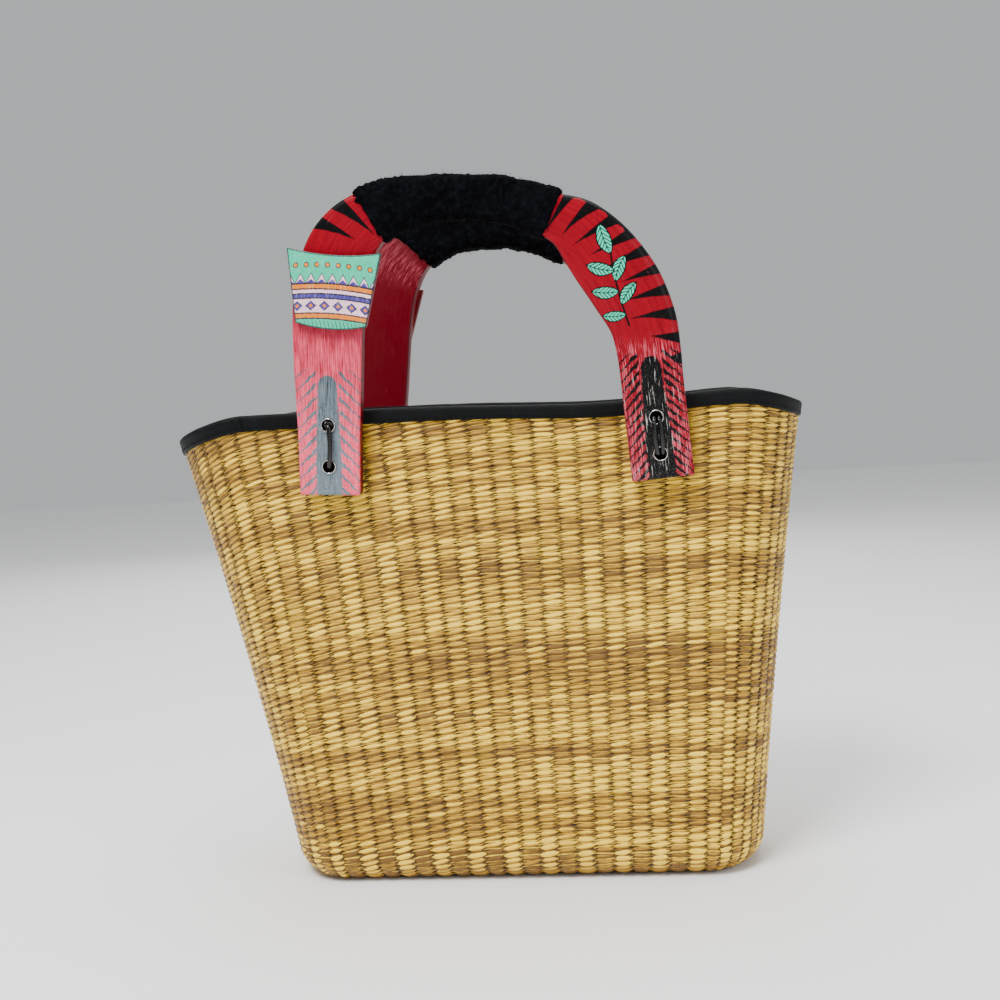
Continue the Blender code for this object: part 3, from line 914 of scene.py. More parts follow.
def paintMap(mesh, matrix):
    # across the board from its middle line, along it from the left foot and out of it, in millimetres
    local = pointsOf(mesh) @ np.array(matrix.inverted().to_3x3()).T + np.array(matrix.inverted().translation)
    line = np.array([[p.x, p.z] for p in centreLine])
    turn = np.array([[p.x, p.z] for p in centreTurn])
    halves = np.array([archRow(position)["width"] for position in positions]) * handle["legWidth"] / 2
    marks = np.zeros_like(local)
    inward = np.zeros(len(local))
    flat = local[:, [0, 2]]
    for i in range(0, len(flat), 4000):
        part = flat[i:i + 4000]
        nearest = ((part[:, None] - line[None]) ** 2).sum(-1).argmin(1)
        offset = part - line[nearest]
        marks[i:i + 4000, 0] = (offset * turn[nearest]).sum(1)
        inward[i:i + 4000] = halves[nearest] - marks[i:i + 4000, 0]
        tangent = np.stack([turn[nearest][:, 1], -turn[nearest][:, 0]], -1)
        marks[i:i + 4000, 1] = centreRun[nearest] + (offset * tangent).sum(1)
    marks[:, 2] = local[:, 1]
    setVector(mesh, "paintMap", marks * 1000)
    setNumber(mesh, "fromEdge", inward * 1000)


def cutHoles(thing, matrix):
    # round holes for the eyelets
    cutter = bmesh.new()
    radius = handle["hole"] / 2
    for _, _, centre in eyeletPlaces():
        place = Matrix.Translation((centre.x, handle["thickness"] / 2, centre.z))
        turn = Matrix.Rotation(-math.pi / 2, 4, "X")
        bmesh.ops.create_cone(cutter, cap_ends=True, segments=40, radius1=radius, radius2=radius,
                              depth=handle["thickness"] * 1.5, matrix=matrix @ place @ turn)
    bmesh.ops.recalc_face_normals(cutter, faces=cutter.faces)
    mesh = bpy.data.meshes.new("hole_cutter")
    cutter.to_mesh(mesh)
    cutter.free()
    tool = addObject("hole_cutter", mesh, smooth=False)
    boolean = thing.modifiers.new("holes", "BOOLEAN")
    boolean.operation = "DIFFERENCE"
    boolean.solver = "EXACT"
    boolean.object = tool
    applyModifiers(thing)
    bpy.data.objects.remove(tool, do_unlink=True)


def makeHandle(name, side, material):
    matrix = handleFrame(side)
    rings = []
    total = lastRow * handle["stationsPerRow"]
    stations = [(0.0, 0.0, -0.0009), (0.0, 0.0003, -0.0004), (0.0, 0.0010, 0.0)]
    stations += [(i / handle["stationsPerRow"], 0.0, 0.0) for i in range(1, total)]
    last = float(lastRow)
    stations += [(last, -0.0010, 0.0), (last, -0.0003, -0.0004), (last, 0.0, -0.0009)]
    for position, shift, grow in stations:
        chamfer = handle["edgeRound"] + archRow(position)["chamfer"] * handle["shoulderChamfer"]
        ring = archSection(position, grow, handle["roundSteps"], handle["edgeRound"], chamfer, shift)
        section = []
        for point in ring:
            spot = point * 55
            wobble = noise.noise(Vector((spot.x, spot.y * 3 + side, spot.z))) * handle["unevenness"]
            toMiddle = archCore(position) - point
            section.append(matrix @ (point + toMiddle.normalized() * (wobble + handle["unevenness"] * 0.7)))
        rings.append(section)
    board = makeSkin(name, *skin(rings))
    cutHoles(board, matrix)
    board.data.set_sharp_from_angle(angle=math.radians(50))
    paintMap(board.data, matrix)
    setMaterial(board.data, material)
    return board


paint = {
    "red": fromPhoto(140, 0, 24), "deepRed": fromPhoto(88, 0, 14), "black": fromPhoto(5, 5, 6),
    "scuffAndGlare": fromPhoto(240, 116, 134), "glint": fromPhoto(226, 222, 214), "leaf": fromPhoto(64, 196, 162),
    "glareRed": fromPhoto(250, 92, 120), "glareBlack": fromPhoto(112, 126, 134),
    "bandHalf": 8.6, "bandTop": 80.0, "bandNarrow": 2.2,
    "chevronPitch": 8.5, "rightChevronPitch": 6.2, "chevronLine": 1.3,
    "wedgePitch": 12.5, "wedgeFrom": 66.0, "wedgeLength": 22.0, "wedgeSpread": 12.0,
    "darkRimFrom": 150.0, "darkRimTo": 215.0, "leftWedgeFrom": 165.0,
}
# the painted sprig: its stem curves out from the board's middle line (mm from that line and the right foot)
sprig = {"across": -9.0, "foot": 102.0, "tip": 150.0, "bend": 0.0060, "half": 0.45}
# its leaves: where each starts, how it is turned (degrees), its length and half its width (mm)
leaves = [
    {"across": -8.6, "along": 111.0, "turn": 152, "length": 14.5, "half": 3.3},
    {"across": -7.4, "along": 119.0, "turn": 26, "length": 15.5, "half": 3.4},
    {"across": -5.6, "along": 127.0, "turn": 144, "length": 16.5, "half": 3.6},
    {"across": -3.0, "along": 134.0, "turn": 34, "length": 16.0, "half": 3.5},
    {"across": -0.6, "along": 140.0, "turn": 130, "length": 17.0, "half": 3.7},
    {"across": 4.6, "along": 150.0, "turn": 70, "length": 18.0, "half": 4.0},
]


def paintSprig(tree, colour, across, fromRight, front):
    # a stem with veined leaves, outlined in black
    rise = fromRight - sprig["foot"]
    stem = (across - (rise * rise * sprig["bend"] + sprig["across"])).size().below(sprig["half"] + 0.2, 0.4)
    stem = stem * rise.above(0.0, 0.5) * fromRight.below(sprig["tip"], 0.5)
    colour = tint(tree, stem * front, colour, paint["black"])
    for leaf in leaves:
        turn = math.radians(leaf["turn"])
        x = across - leaf["across"]
        y = fromRight - leaf["along"]
        u = (x * math.cos(turn) + y * math.sin(turn)) / leaf["length"]
        away = (x * -math.sin(turn) + y * math.cos(turn) - (u * (1.0 - u)) * 4.0).size()
        inside = (u * (1.0 - u) * 4.0).most(0.0).power(0.75) * leaf["half"]
        shape = (inside - away).above(0.0, 0.35)
        rim = (inside + 0.8 - away).above(0.0, 0.35) * u.above(-0.05, 0.02) * u.below(1.06, 0.02)
        vein = ((u * 6.0 + away * 0.40).part() - 0.5).size().below(0.15, 0.12) * u.ramp(0.05, 0.2)
        inner = tint(tree, vein.most(away.below(0.30, 0.3)), paint["leaf"], paint["black"])
        colour = coat(tree, colour, (rim * front, paint["black"]), (shape * front, inner))
    return colour


def paintBand(tree, across, leg, wander, ragged, side):
    # a black band up each leg with a round end, and plain chevrons on both sides of it
    top, wide, narrow = paint["bandTop"], paint["bandHalf"], paint["bandNarrow"]
    taper = ((leg - (top - wide)) / wide).most(0.0)
    half = leg.ramp(20.0, top, 0.0, -narrow) + wide + ragged
    band = (((across + wander) / half).power(2.0) + taper.power(2.0)).below(1.0, 0.10)
    away = across.size()
    step = side * (paint["rightChevronPitch"] - paint["chevronPitch"]) + paint["chevronPitch"]
    slant = (leg + away * 0.95 + wander * 2.4 + ragged * 0.5) / step
    line = (slant.part() - 0.5).size() * step
    thin = away.ramp(8.0, 21.0, paint["chevronLine"] * 1.2, paint["chevronLine"] * 0.4) + wander * 0.45
    chevron = (thin - line).above(0.0, 0.5) * leg.below(top + 3.0, 3.0) * away.above(wide - 1.0, 0.6)
    return band.most(chevron)


def paintWedges(tree, along, fromRight, out, wander):
    # pointed wedges from the outer edge of the arch, which run together near the wool
    pitch = paint["wedgePitch"]
    inward = readNumber(tree, "fromEdge") + wander * 0.7
    lean = (along - fromRight).step("SIGN") * inward * 0.22
    travelled = (along + lean) / pitch
    number = travelled.whole()
    chance = Wire(tree, addNode(tree, "ShaderNodeTexWhiteNoise", {"W": number + 3.0}, noise_dimensions="1D"))
    middle = (number + 0.5) * pitch
    toRight = handleLength * 1000 - middle
    shorter = toRight.ramp(paint["bandTop"] + 2.0, paint["bandTop"] + 14.0, 0.28, 1.0)
    reach = (chance * paint["wedgeSpread"] + paint["wedgeLength"]) * shorter
    darkRim = fromRight.above(paint["darkRimFrom"], 4.0) * fromRight.below(paint["darkRimTo"], 4.0)
    darkRim = darkRim * out.below(handle["thickness"] * 1000 - 2.2, 1.6) * 0.45
    wide = (1.0 - inward / reach) * (0.24 + chance * 0.08) + darkRim
    wedge = (wide - (travelled.part() - 0.5).size()).above(0.0, 0.04)
    wedge = wedge * toRight.above(paint["wedgeFrom"], 0.1) * middle.above(paint["leftWedgeFrom"], 0.1)
    return wedge * out.above(1.5, 2.0)


def woodPaint(name):
    material, tree = newMaterial(name, Roughness=0.3, Specular_IOR_Level=0.10, Coat_Weight=0.05,
                                 Coat_Roughness=0.1)
    place = readVector(tree, "paintMap")
    across, along, out = place
    length = handleLength * 1000
    fromRight = length - along
    leg = along.least(fromRight)
    grain = speckle(tree, (across, along * 0.06, out * 0.4), 0.55, 5.0, 0.65, 0.6)
    fine = speckle(tree, (across, along * 0.05, out), 1.3, 5.0, 0.7)
    blotch = speckle(tree, place, 0.07, 3.0, 0.6)
    wander = (speckle(tree, place, 0.28) - 0.5) * 1.6
    ragged = (speckle(tree, (across * 0.3, along, 0.0), 0.42, 3.0, 0.7) - 0.5) * 3.4
    crackle = speckle(tree, (across * 1.2, along * 0.55, out), 1.5, 4.0, 0.75, 1.5)
    face = out.above(handle["thickness"] * 1000 - 5.5, 3.0)
    front = out.above(handle["thickness"] * 1000 - 2.6, 0.6)
    dark = paintBand(tree, across, leg, wander, ragged, along.above(length / 2, 1.0)) * face
    dark = dark.most(paintWedges(tree, along, fromRight, out, wander))
    red = tint(tree, grain.ramp(0.30, 0.75, 0.0, 0.55), paint["red"], paint["deepRed"])
    colour = coat(tree, paint["deepRed"], (face, red), (dark, paint["black"]))
    colour = paintSprig(tree, colour, across, fromRight, front)
    # painted glare: the left leg is painted paler, most of all at its foot, and pale streaks of painted glare
    # show on the right one
    pale = tint(tree, dark, paint["glareRed"], paint["glareBlack"])
    legGlare = along.ramp(15.0, 105.0, 0.90, 0.42) + (fine - 0.5) * along.ramp(15.0, 105.0, 2.5, 2.6)
    legGlare = (legGlare + (blotch - 0.5) * 0.4).held() * along.below(112.0, 20.0) * front
    lower = fromRight.ramp(20.0, 96.0, 1.0, 0.0)
    # pale streaks of painted glare toward the right foot
    glareStreaks = (fine + lower * 0.05).ramp(0.52, 0.64) * front * fromRight.below(90.0, 12.0)
    # painted highlights: white glints on the black band
    glints = (fine + lower * 0.02).ramp(0.60, 0.67) * front * fromRight.below(84.0, 12.0)
    scratches = fine.ramp(0.64, 0.72) * blotch.ramp(0.45, 0.65)
    # a painted reflection: pale streaks on the inner face below the wool
    wrapStart = float(centreRun[wool["from"] * runSteps]) * 1000
    marks = along.ramp(wrapStart - 44.0, wrapStart - 26.0) * along.ramp(wrapStart - 6.0, wrapStart - 16.0)
    marks = marks * out.below(2.0, 1.0) * fine.ramp(0.48, 0.62)
    onLegs = leg.ramp(86.0, 55.0) * front
    # the pale crackle specks on the legs are painted glints; the dark specks are paint
    colour = coat(tree, colour, (legGlare, pale), (glareStreaks * 0.60 * (1.0 - dark), paint["scuffAndGlare"]),
                  (glints * dark * 0.75, paint["glint"]), (scratches * 0.45, paint["scuffAndGlare"]),
                  (marks * 0.26, paint["scuffAndGlare"]), (crackle.ramp(0.54, 0.62) * onLegs * 0.70, paint["black"]),
                  (crackle.ramp(0.40, 0.33) * onLegs * 0.30, paint["glint"]))
    return finishLook(material, colour, grain * 0.6 + fine * 0.35, 0.0005, grain * 0.25 + blotch * 0.22 + 0.08)


# wool round the grips

wool = {
    "from": 6, "to": 11, "thickness": 0.0038, "stations": 230, "around": 84,
    "lumps": 0.0014, "nubs": 0.0010, "lip": 0.07, "ragged": 0.14, "reach": 0.55,
    "fibres": 2600, "fibreLength": 0.0045, "fibreRadius": 0.00007,
    "dark": fromPhoto(1, 1, 2), "light": fromPhoto(17, 19, 25), "seed": 21,
}


def woolMaterial():
    material, tree = newMaterial("wool", Roughness=0.95, Specular_IOR_Level=0.05)
    place = readPlace(tree)
    clumps = speckle(tree, place, 260.0, 4.0, 0.65)
    nubs = speckle(tree, place, 700.0, 3.0, 0.7)
    wide = speckle(tree, place, 45.0)
    share = clumps.ramp(0.42, 0.72, 0.0, 0.5) + nubs.ramp(0.60, 0.74, 0.0, 0.6) + wide.ramp(0.4, 0.7, 0.0, 0.22)
    colour = tint(tree, share.held(), wool["dark"], wool["light"])
    return finishLook(material, colour, clumps + nubs * 0.6, 0.0012)


def fibreTree(material, fibre):
    # scatters thin bent fibres over the wool
    tree, given = newTree("fuzz", "Density", "Fibre length", "Seed")
    scatter = addNode(tree, "GeometryNodeDistributePointsOnFaces",
                      {"Mesh": given["Geometry"], "Density": given["Density"], "Seed": given["Seed"]})
    lean = addNode(tree, "FunctionNodeRandomValue",
                   {0: (-0.9, -0.9, -math.pi), 1: (0.9, 0.9, math.pi), "Seed": given["Seed"]},
                   data_type="FLOAT_VECTOR")
    spin = addNode(tree, "FunctionNodeEulerToRotation", {0: lean})
    turn = addNode(tree, "FunctionNodeRotateRotation", {0: scatter.outputs["Rotation"], 1: spin},
                   rotation_space="LOCAL")
    size = addNode(tree, "FunctionNodeRandomValue", {2: 0.35, 3: given["Fibre length"]}, data_type="FLOAT")
    source = addNode(tree, "GeometryNodeObjectInfo", {"Object": fibre}).outputs["Geometry"]
    return spreadOut(tree, scatter.outputs["Points"], source, turn, size.outputs[1], material)


def makeFibre():
    # one curled fibre, three-sided and pointed, standing on the origin
    points, faces = [], []
    steps = 3
    for i in range(steps):
        share = i / steps
        bend = Vector((0.35 * share ** 2, 0.12 * share, 0.85 * share)) * wool["fibreLength"]
        radius = wool["fibreRadius"] * (1 - 0.5 * share)
        for j in range(3):
            angle = j / 3 * 2 * math.pi
            points.append(bend + Vector((math.cos(angle), math.sin(angle), 0)) * radius)
    points.append(Vector((0.55, 0.2, 0.95)) * wool["fibreLength"])
    for i in range(steps - 1):
        for j in range(3):
            k = (j + 1) % 3
            faces.append((i * 3 + j, i * 3 + k, i * 3 + 3 + k, i * 3 + 3 + j))
    for j in range(3):
        faces.append(((steps - 1) * 3 + j, (steps - 1) * 3 + (j + 1) % 3, len(points) - 1))
    faces.append((0, 2, 1))
    return addMesh("fibre", points, faces)


def roundPoint(position, grow, angle):
    # a point of a softly rounded ring round the arch, with the arch's middle there
    middle = archCore(position)
    half = archRow(position)["width"] * handle["legWidth"] / 2 + grow
    deep = handle["thickness"] / 2 + grow
    power = 2 / 3.6
    c, s = math.cos(angle), math.sin(angle)
    across = archOutward(position) * (half * math.copysign(abs(c) ** power, c))
    return middle + across + Vector((0, deep * math.copysign(abs(s) ** power, s), 0)), middle


def makeWrap(label, side, material, tree):
    matrix = handleFrame(side)
    count = wool["around"]
    angles = [i / count * 2 * math.pi for i in range(count)]
    reach = wool["reach"] if side > 0 else 0.0
    rings = []
    for i in range(wool["stations"] + 1):
        share = i / wool["stations"]
        edge = min(share, 1 - share) / wool["lip"]
        swell = math.sqrt(max(1 - (1 - min(edge, 1)) ** 2, 0)) if edge < 1 else 1.0
        ring = []
        for angle in angles:
            # the ends are ragged, and the back sleeve reaches lower on the outer side of its left end
            ragged = noise.noise(Vector((math.cos(angle) * 5, math.sin(angle) * 5, side + 9 * (share > 0.5))))
            shift = ragged * wool["ragged"] * max(1 - edge, 0) * (1 if share > 0.5 else -1)
            shift -= reach * (0.5 + 0.5 * math.cos(angle)) * max(1 - share / 0.3, 0)
            position = mix(wool["from"], wool["to"], share) + shift
            point, middle = roundPoint(position, gap + wool["thickness"] * mix(0.12, 1.0, swell), angle)
            spot = Vector((point.x, point.y + side * 0.3, point.z))
            lump = noise.noise(spot * 70) * wool["lumps"]
            nub = noise.turbulence(spot * 420, 3, False) * wool["nubs"] - wool["nubs"] * 0.6
            ring.append(matrix @ (point + (point - middle).normalized() * (lump + nub) * swell))
        rings.append(ring)
    inner = []
    for i in range(wool["stations"] // 6 + 1):
        position = mix(wool["from"], wool["to"], i / (wool["stations"] // 6))
        inner.append([matrix @ roundPoint(position, gap, angle)[0] for angle in angles])
    sleeve = makeSkin("wool_wrap_" + label, *skin(rings + inner[::-1], closed=True), material)
    area = sum(face.area for face in sleeve.data.polygons)
    values = {"Density": wool["fibres"] / area, "Fibre length": 1.0, "Seed": wool["seed"] + side}
    return sleeve, growPiece("wool_fuzz_" + label, sleeve.data.copy(), tree, values, material)


# painted boards on the left legs

plaque = {
    "topWidth": 0.062, "footWidth": 0.047, "height": 0.048, "thickness": 0.005, "dip": 0.003, "sag": 0.003,
    "seat": 0.1125, "edge": 0.0007,
    "places": {"front": {"up": 1.00, "across": 0.062, "turn": 7.4},
               "back": {"up": 0.92, "across": -0.050, "turn": 8.0}},
    "bands": ((4.0, "ochre"), (7.5, "pink"), (17.0, "violet"), (20.0, "pink"), (23.0, "ochre"),
              (26.5, "turquoise")),
    "teethAt": 26.5, "pale": fromPhoto(236, 244, 240), "grime": fromPhoto(70, 92, 96),
    "turquoise": fromPhoto(30, 184, 146), "ochre": fromPhoto(222, 122, 0), "pink": fromPhoto(240, 196, 212),
    "violet": fromPhoto(66, 54, 134), "line": fromPhoto(30, 24, 40), "side": fromPhoto(110, 2, 14),
}


def plaqueFrame(label, side):
    place = plaque["places"][label]
    seat = legCentre("left", place["up"] * plaque["seat"])
    seat.x += place["across"] * plaque["topWidth"]
    turn = Matrix.Rotation(math.radians(place["turn"]), 4, "Y")
    return handleFrame(side) @ Matrix.Translation(seat) @ turn


def plaquePaint():
    # bands across the board: diamonds, stripes, teeth and dots, all in millimetres
    material, tree = newMaterial("plaque_paint", Roughness=0.4, Specular_IOR_Level=0.25, Coat_Weight=0.10,
                                 Coat_Roughness=0.2)
    place = readVector(tree, "paintMap")
    x, up, out = place
    wander = (speckle(tree, place, 0.5) - 0.5) * 0.7
    z = up + wander + x * x * 0.0028
    wash = speckle(tree, place, 0.16, 4.0, 0.65)
    brush = speckle(tree, (x, up * 0.12, out), 1.6, 4.0, 0.6)
    colour = plaque["turquoise"]
    lines = []
    for start, shade in plaque["bands"]:
        colour = tint(tree, z.above(start, 0.25), colour, plaque[shade])
        lines.append((z - start).size().below(0.46, 0.3))
    # a row of diamonds, teeth and dots above it and short strokes at the foot
    diamond = ((x / 9.0 + wander * 0.05).part() - 0.5).size() * 9.0 + (z - 12.2).size() * 1.15
    lines.append((diamond - 3.4).size().below(0.36, 0.25) * z.above(7.5, 0.2) * z.below(17.0, 0.2))
    row = 1.0 - ((x / 7.0 + 0.5).part() - 0.5).size() * 2.0
    overTeeth = z.above(plaque["teethAt"] + 0.1, 0.2)
    tooth = z - plaque["teethAt"] - row * 6.5
    small = z - plaque["teethAt"] - row * 3.0
    lines.append(tooth.size().below(0.52, 0.3) * overTeeth)
    aside = ((x / 7.0).part() - 0.5) * 7.0
    dot = (aside * aside + (z - 38.5) * (z - 38.5)).step("SQRT")
    lines.append((dot - 1.5).size().below(0.28, 0.25))
    lines.append(((x / 2.6 + z * 0.12).part() - 0.5).size().below(0.10, 0.08) * z.below(2.6, 0.8) * 0.8)
    # the outline along the edge
    half = 0.5 * mix(plaque["footWidth"], plaque["topWidth"], up / (plaque["height"] * 1000)) * 1000
    top = (plaque["height"] - plaque["dip"]) * 1000 + x * x * plaque["dip"] * 4e-3 / plaque["topWidth"] ** 2
    foot = -plaque["sag"] * 1000 + x * x * plaque["sag"] * 4e-3 / plaque["footWidth"] ** 2
    lines.append((half - x.size()).least(top - up).least(up - foot).below(0.95, 0.3) * 0.9)
    line = lines[0]
    for other in lines[1:]:
        line = line.most(other)
    colour = coat(tree, colour,
                  (diamond.below(3.3, 0.3), plaque["violet"]), (diamond.below(1.5, 0.3), plaque["ochre"]),
                  (tooth.below(0.0, 0.3) * overTeeth, plaque["pink"]),
                  (small.below(0.0, 0.3) * overTeeth, plaque["violet"]),
                  (dot.below(1.35, 0.3), plaque["ochre"]), (line.held(), plaque["line"]),
                  (brush.ramp(0.50, 0.75, 0.0, 0.20), plaque["pale"]),
                  (wash.ramp(0.55, 0.8, 0.0, 0.30), plaque["grime"]))
    front = out.above((handle["thickness"] + gap + plaque["thickness"]) * 1000 - 0.7, 0.3)
    colour = tint(tree, front, plaque["side"], colour)
    return finishLook(material, colour, brush * 0.7 + wash * 0.3, 0.0004, brush.ramp(0.2, 0.8, 0.26, 0.5))


def makePlaque(name, label, side, material):
    matrix = plaqueFrame(label, side)
    steps = 16
    outline = []
    for i in range(steps + 1):
        share = i / steps * 2 - 1
        outline.append((share * plaque["footWidth"] / 2, -plaque["sag"] * (1 - share ** 2)))
    for i in range(steps + 1):
        share = 1 - i / steps * 2
        outline.append((share * plaque["topWidth"] / 2, plaque["height"] - plaque["dip"] * (1 - share ** 2)))
    mesh = bmesh.new()
    low = handle["thickness"] + gap
    made = []
    for out in (low, low + plaque["thickness"]):
        made.append([mesh.verts.new((x, out, z)) for x, z in outline])
    for i in range(len(outline)):
        j = (i + 1) % len(outline)
        mesh.faces.new((made[0][i], made[0][j], made[1][j], made[1][i]))
    mesh.faces.new(made[0])
    mesh.faces.new(made[1])
    bmesh.ops.recalc_face_normals(mesh, faces=mesh.faces)
    data = bpy.data.meshes.new(name)
    mesh.to_mesh(data)
    mesh.free()
    board = addObject(name, data)
    bevel = board.modifiers.new("soft_edges", "BEVEL")
    bevel.width = plaque["edge"]
    bevel.segments = 3
    bevel.angle_limit = math.radians(50)
    result = applyModifiers(board)
    setVector(result, "paintMap", pointsOf(result)[:, [0, 2, 1]] * 1000)
    result.transform(matrix)
    if matrix.determinant() < 0:
        faceOutward(board)
    result.set_sharp_from_angle(angle=math.radians(40))
    setMaterial(result, material)
    return board


# eyelets and laces

eyelet = {"bore": 0.0078, "rim": 0.0099, "lip": 0.0010, "wall": 0.0004, "depth": 0.006, "segments": 44,
          "bright": fromPhoto(196, 194, 192), "worn": fromPhoto(84, 78, 72), "inside": fromPhoto(14, 13, 13)}
lace = {"diameter": 0.0032, "sides": 12, "strandShift": 0.0030, "steps": 9, "doubleShare": 0.9,
        "knot": {"radius": 0.0016, "swing": 0.0009, "depth": 0.0010, "sink": 0.0005, "corners": 18,
                 "steps": 5, "share": 0.72},
        "dark": fromPhoto(2, 2, 2), "light": fromPhoto(9, 9, 11)}


def metalMaterial():
    material, tree = newMaterial("eyelet_metal", Metallic=1.0, Roughness=0.2)
    wear = speckle(tree, readPlace(tree), 500.0, 3.0, 0.6)
    # the inside colour is painted shade, darker deeper in the hole
    colour = coat(tree, eyelet["bright"], (wear.ramp(0.4, 0.8, 0.0, 0.6), eyelet["worn"]),
                  (readNumber(tree, "depth"), eyelet["inside"]))
    return finishLook(material, colour, wear, 0.0001, wear.ramp(0.3, 0.8, 0.10, 0.34))


def cordMaterial():
    material, tree = newMaterial("lace_cord", Roughness=0.16, Specular_IOR_Level=0.4)
    along, around, _ = readVector(tree, "cordMap")
    plaits = [((along * 520.0 + around * turn) * math.pi * 2).wave() * 0.5 + 0.5 for turn in (4.0, -4.0)]
    braid = plaits[0].most(plaits[1])
    colour = tint(tree, braid.ramp(0.5, 1.0, 0.0, 0.5), lace["dark"], lace["light"])
    return finishLook(material, colour, braid, 0.00008)


def makeEyelets(material):
    # one turned ring, set on each hole by its place and turn
    bore, rim = eyelet["bore"] / 2, eyelet["rim"] / 2
    middle, half = (bore + rim) / 2, (rim - bore) / 2
    profile = [(bore, -eyelet["depth"]), (bore, -0.002)]
    for i in range(9):
        angle = math.pi - i / 8 * math.pi
        profile.append((middle + half * math.cos(angle), gap + eyelet["lip"] * math.sin(angle)))
    profile += [(bore + eyelet["wall"], gap), (bore + eyelet["wall"], -eyelet["depth"])]
    points, faces, holeShade = [], [], []
    for side in (-1, 1):
        matrix = handleFrame(side)
        for _, _, centre in eyeletPlaces():
            rings = []
            for radius, out in profile:
                ring = []
                for i in range(eyelet["segments"]):
                    angle = i / eyelet["segments"] * 2 * math.pi
                    spot = Vector((centre.x + radius * math.cos(angle), handle["thickness"] + out,
                                   centre.z + radius * math.sin(angle)))
                    ring.append(matrix @ spot)
                rings.append(ring)
                # painted shade: 0 at the lip, 1 deep in the hole
                holeShade += [min(max(-out / 0.002, 0.0), 1.0)] * len(ring)
            addPart(points, faces, *skin(rings, closed=True))
    rings = makeSkin("eyelet_rings", points, faces, material)
    setNumber(rings.data, "depth", holeShade)
    return rings


def tube(path, radius, sides):
    # points, faces and marks of a round cord along a closed path
    count = len(path)
    rings, marks = [], []
    normal = Vector((1, 0, 0))
    travelled = 0.0
    for i in range(count):
        ahead = path[(i + 1) % count] - path[i - 1]
        ahead.normalize()
        normal = (normal - ahead * normal.dot(ahead)).normalized()
        other = ahead.cross(normal)
        ring = []
        for j in range(sides):
            angle = j / sides * 2 * math.pi
            ring.append(path[i] + (normal * math.cos(angle) + other * math.sin(angle)) * radius)
            marks.append((travelled, j / sides, 0))
        rings.append(ring)
        travelled += (path[(i + 1) % count] - path[i]).length
    return *skin(rings, closed=True), marks


def smoothPath(corners, steps):
    # a closed Catmull-Rom curve through the corners
    path = []
    for i in range(len(corners)):
        p0, p1, p2, p3 = (corners[(i + k) % len(corners)] for k in (-1, 0, 1, 2))
        for k in range(steps):
            t = k / steps
            path.append(0.5 * ((2 * p1) + (p2 - p0) * t + (2 * p0 - 5 * p1 + 4 * p2 - p3) * t * t
                               + (3 * p1 - p0 - 3 * p2 + p3) * t ** 3))
    return path


def laceLoop(upper, lower, shift, slack, sway):
    # corners of one closed loop of cord through both eyelets, in the handle's frame
    outside = handle["thickness"] + eyelet["lip"] + lace["diameter"] / 2 + 2 * gap
    inside = -(gap + 2 * bindingStack + basket["wall"] + lace["diameter"] / 2 + gap)
    top, foot = upper.z, lower.z
    middle = (top + foot) / 2
    rows = [
        (outside - 0.003, foot, 1.0), (outside - 0.0004, foot + 0.0022, 1.0),
        (outside + slack, middle - 0.004, 1.0), (outside + slack, middle + 0.004, 1.0),
        (outside - 0.0004, top - 0.0022, 1.0), (outside - 0.003, top, 1.0),
        (0.004, top, 0.8), (inside + 0.003, top, 0.8), (inside, top - 0.003, 0.8), (inside, middle, 0.8),
        (inside, foot + 0.003, 0.8), (inside + 0.003, foot, 0.8), (0.004, foot, 0.8),
    ]
    corners = []
    for out, z, spread in rows:
        share = (z - foot) / (top - foot)
        bow = sway * (1 - (2 * share - 1) ** 2) if out > handle["thickness"] else 0
        corners.append(Vector((mix(lower.x, upper.x, share) + shift * spread + bow, out, z)))
    return corners


def laceKnot(upper):
    # the lump of the knot in the upper eyelet: a short trefoil of the same cord
    knot = lace["knot"]
    centre = upper + Vector((0, handle["thickness"] - knot["sink"], 0))
    corners = []
    for i in range(knot["corners"]):
        t = i / knot["corners"] * 2 * math.pi
        around = knot["radius"] + knot["swing"] * math.cos(3 * t)
        corners.append(centre + Vector((around * math.cos(2 * t), knot["depth"] * math.sin(3 * t),
                                        around * math.sin(2 * t))))
    return corners


def makeLace(name, side, leg, material):
    matrix = handleFrame(side)
    upper, lower = (centre for where, _, centre in eyeletPlaces() if where == leg)
    half, steps, knot = lace["strandShift"] / 2, lace["steps"], lace["knot"]
    if leg == "left":
        loops = [(laceLoop(upper, lower, 0.0004, 0.0004, 0.0014), steps, 1.0),
                 (laceKnot(upper), knot["steps"], knot["share"])]
    else:
        loops = [(laceLoop(upper, lower, shift, 0.0012, shift * 0.5), steps, lace["doubleShare"])
                 for shift in (-half, half)]
    points, faces, marks = [], [], []
    for corners, steps, share in loops:
        path = [matrix @ p for p in smoothPath(corners, steps)]
        more, found, lines = tube(path, lace["diameter"] / 2 * share, lace["sides"])
        addPart(points, faces, more, found)
        marks += lines
    cord = makeSkin(name, points, faces, material)
    setVector(cord.data, "cordMap", marks)
    return cord


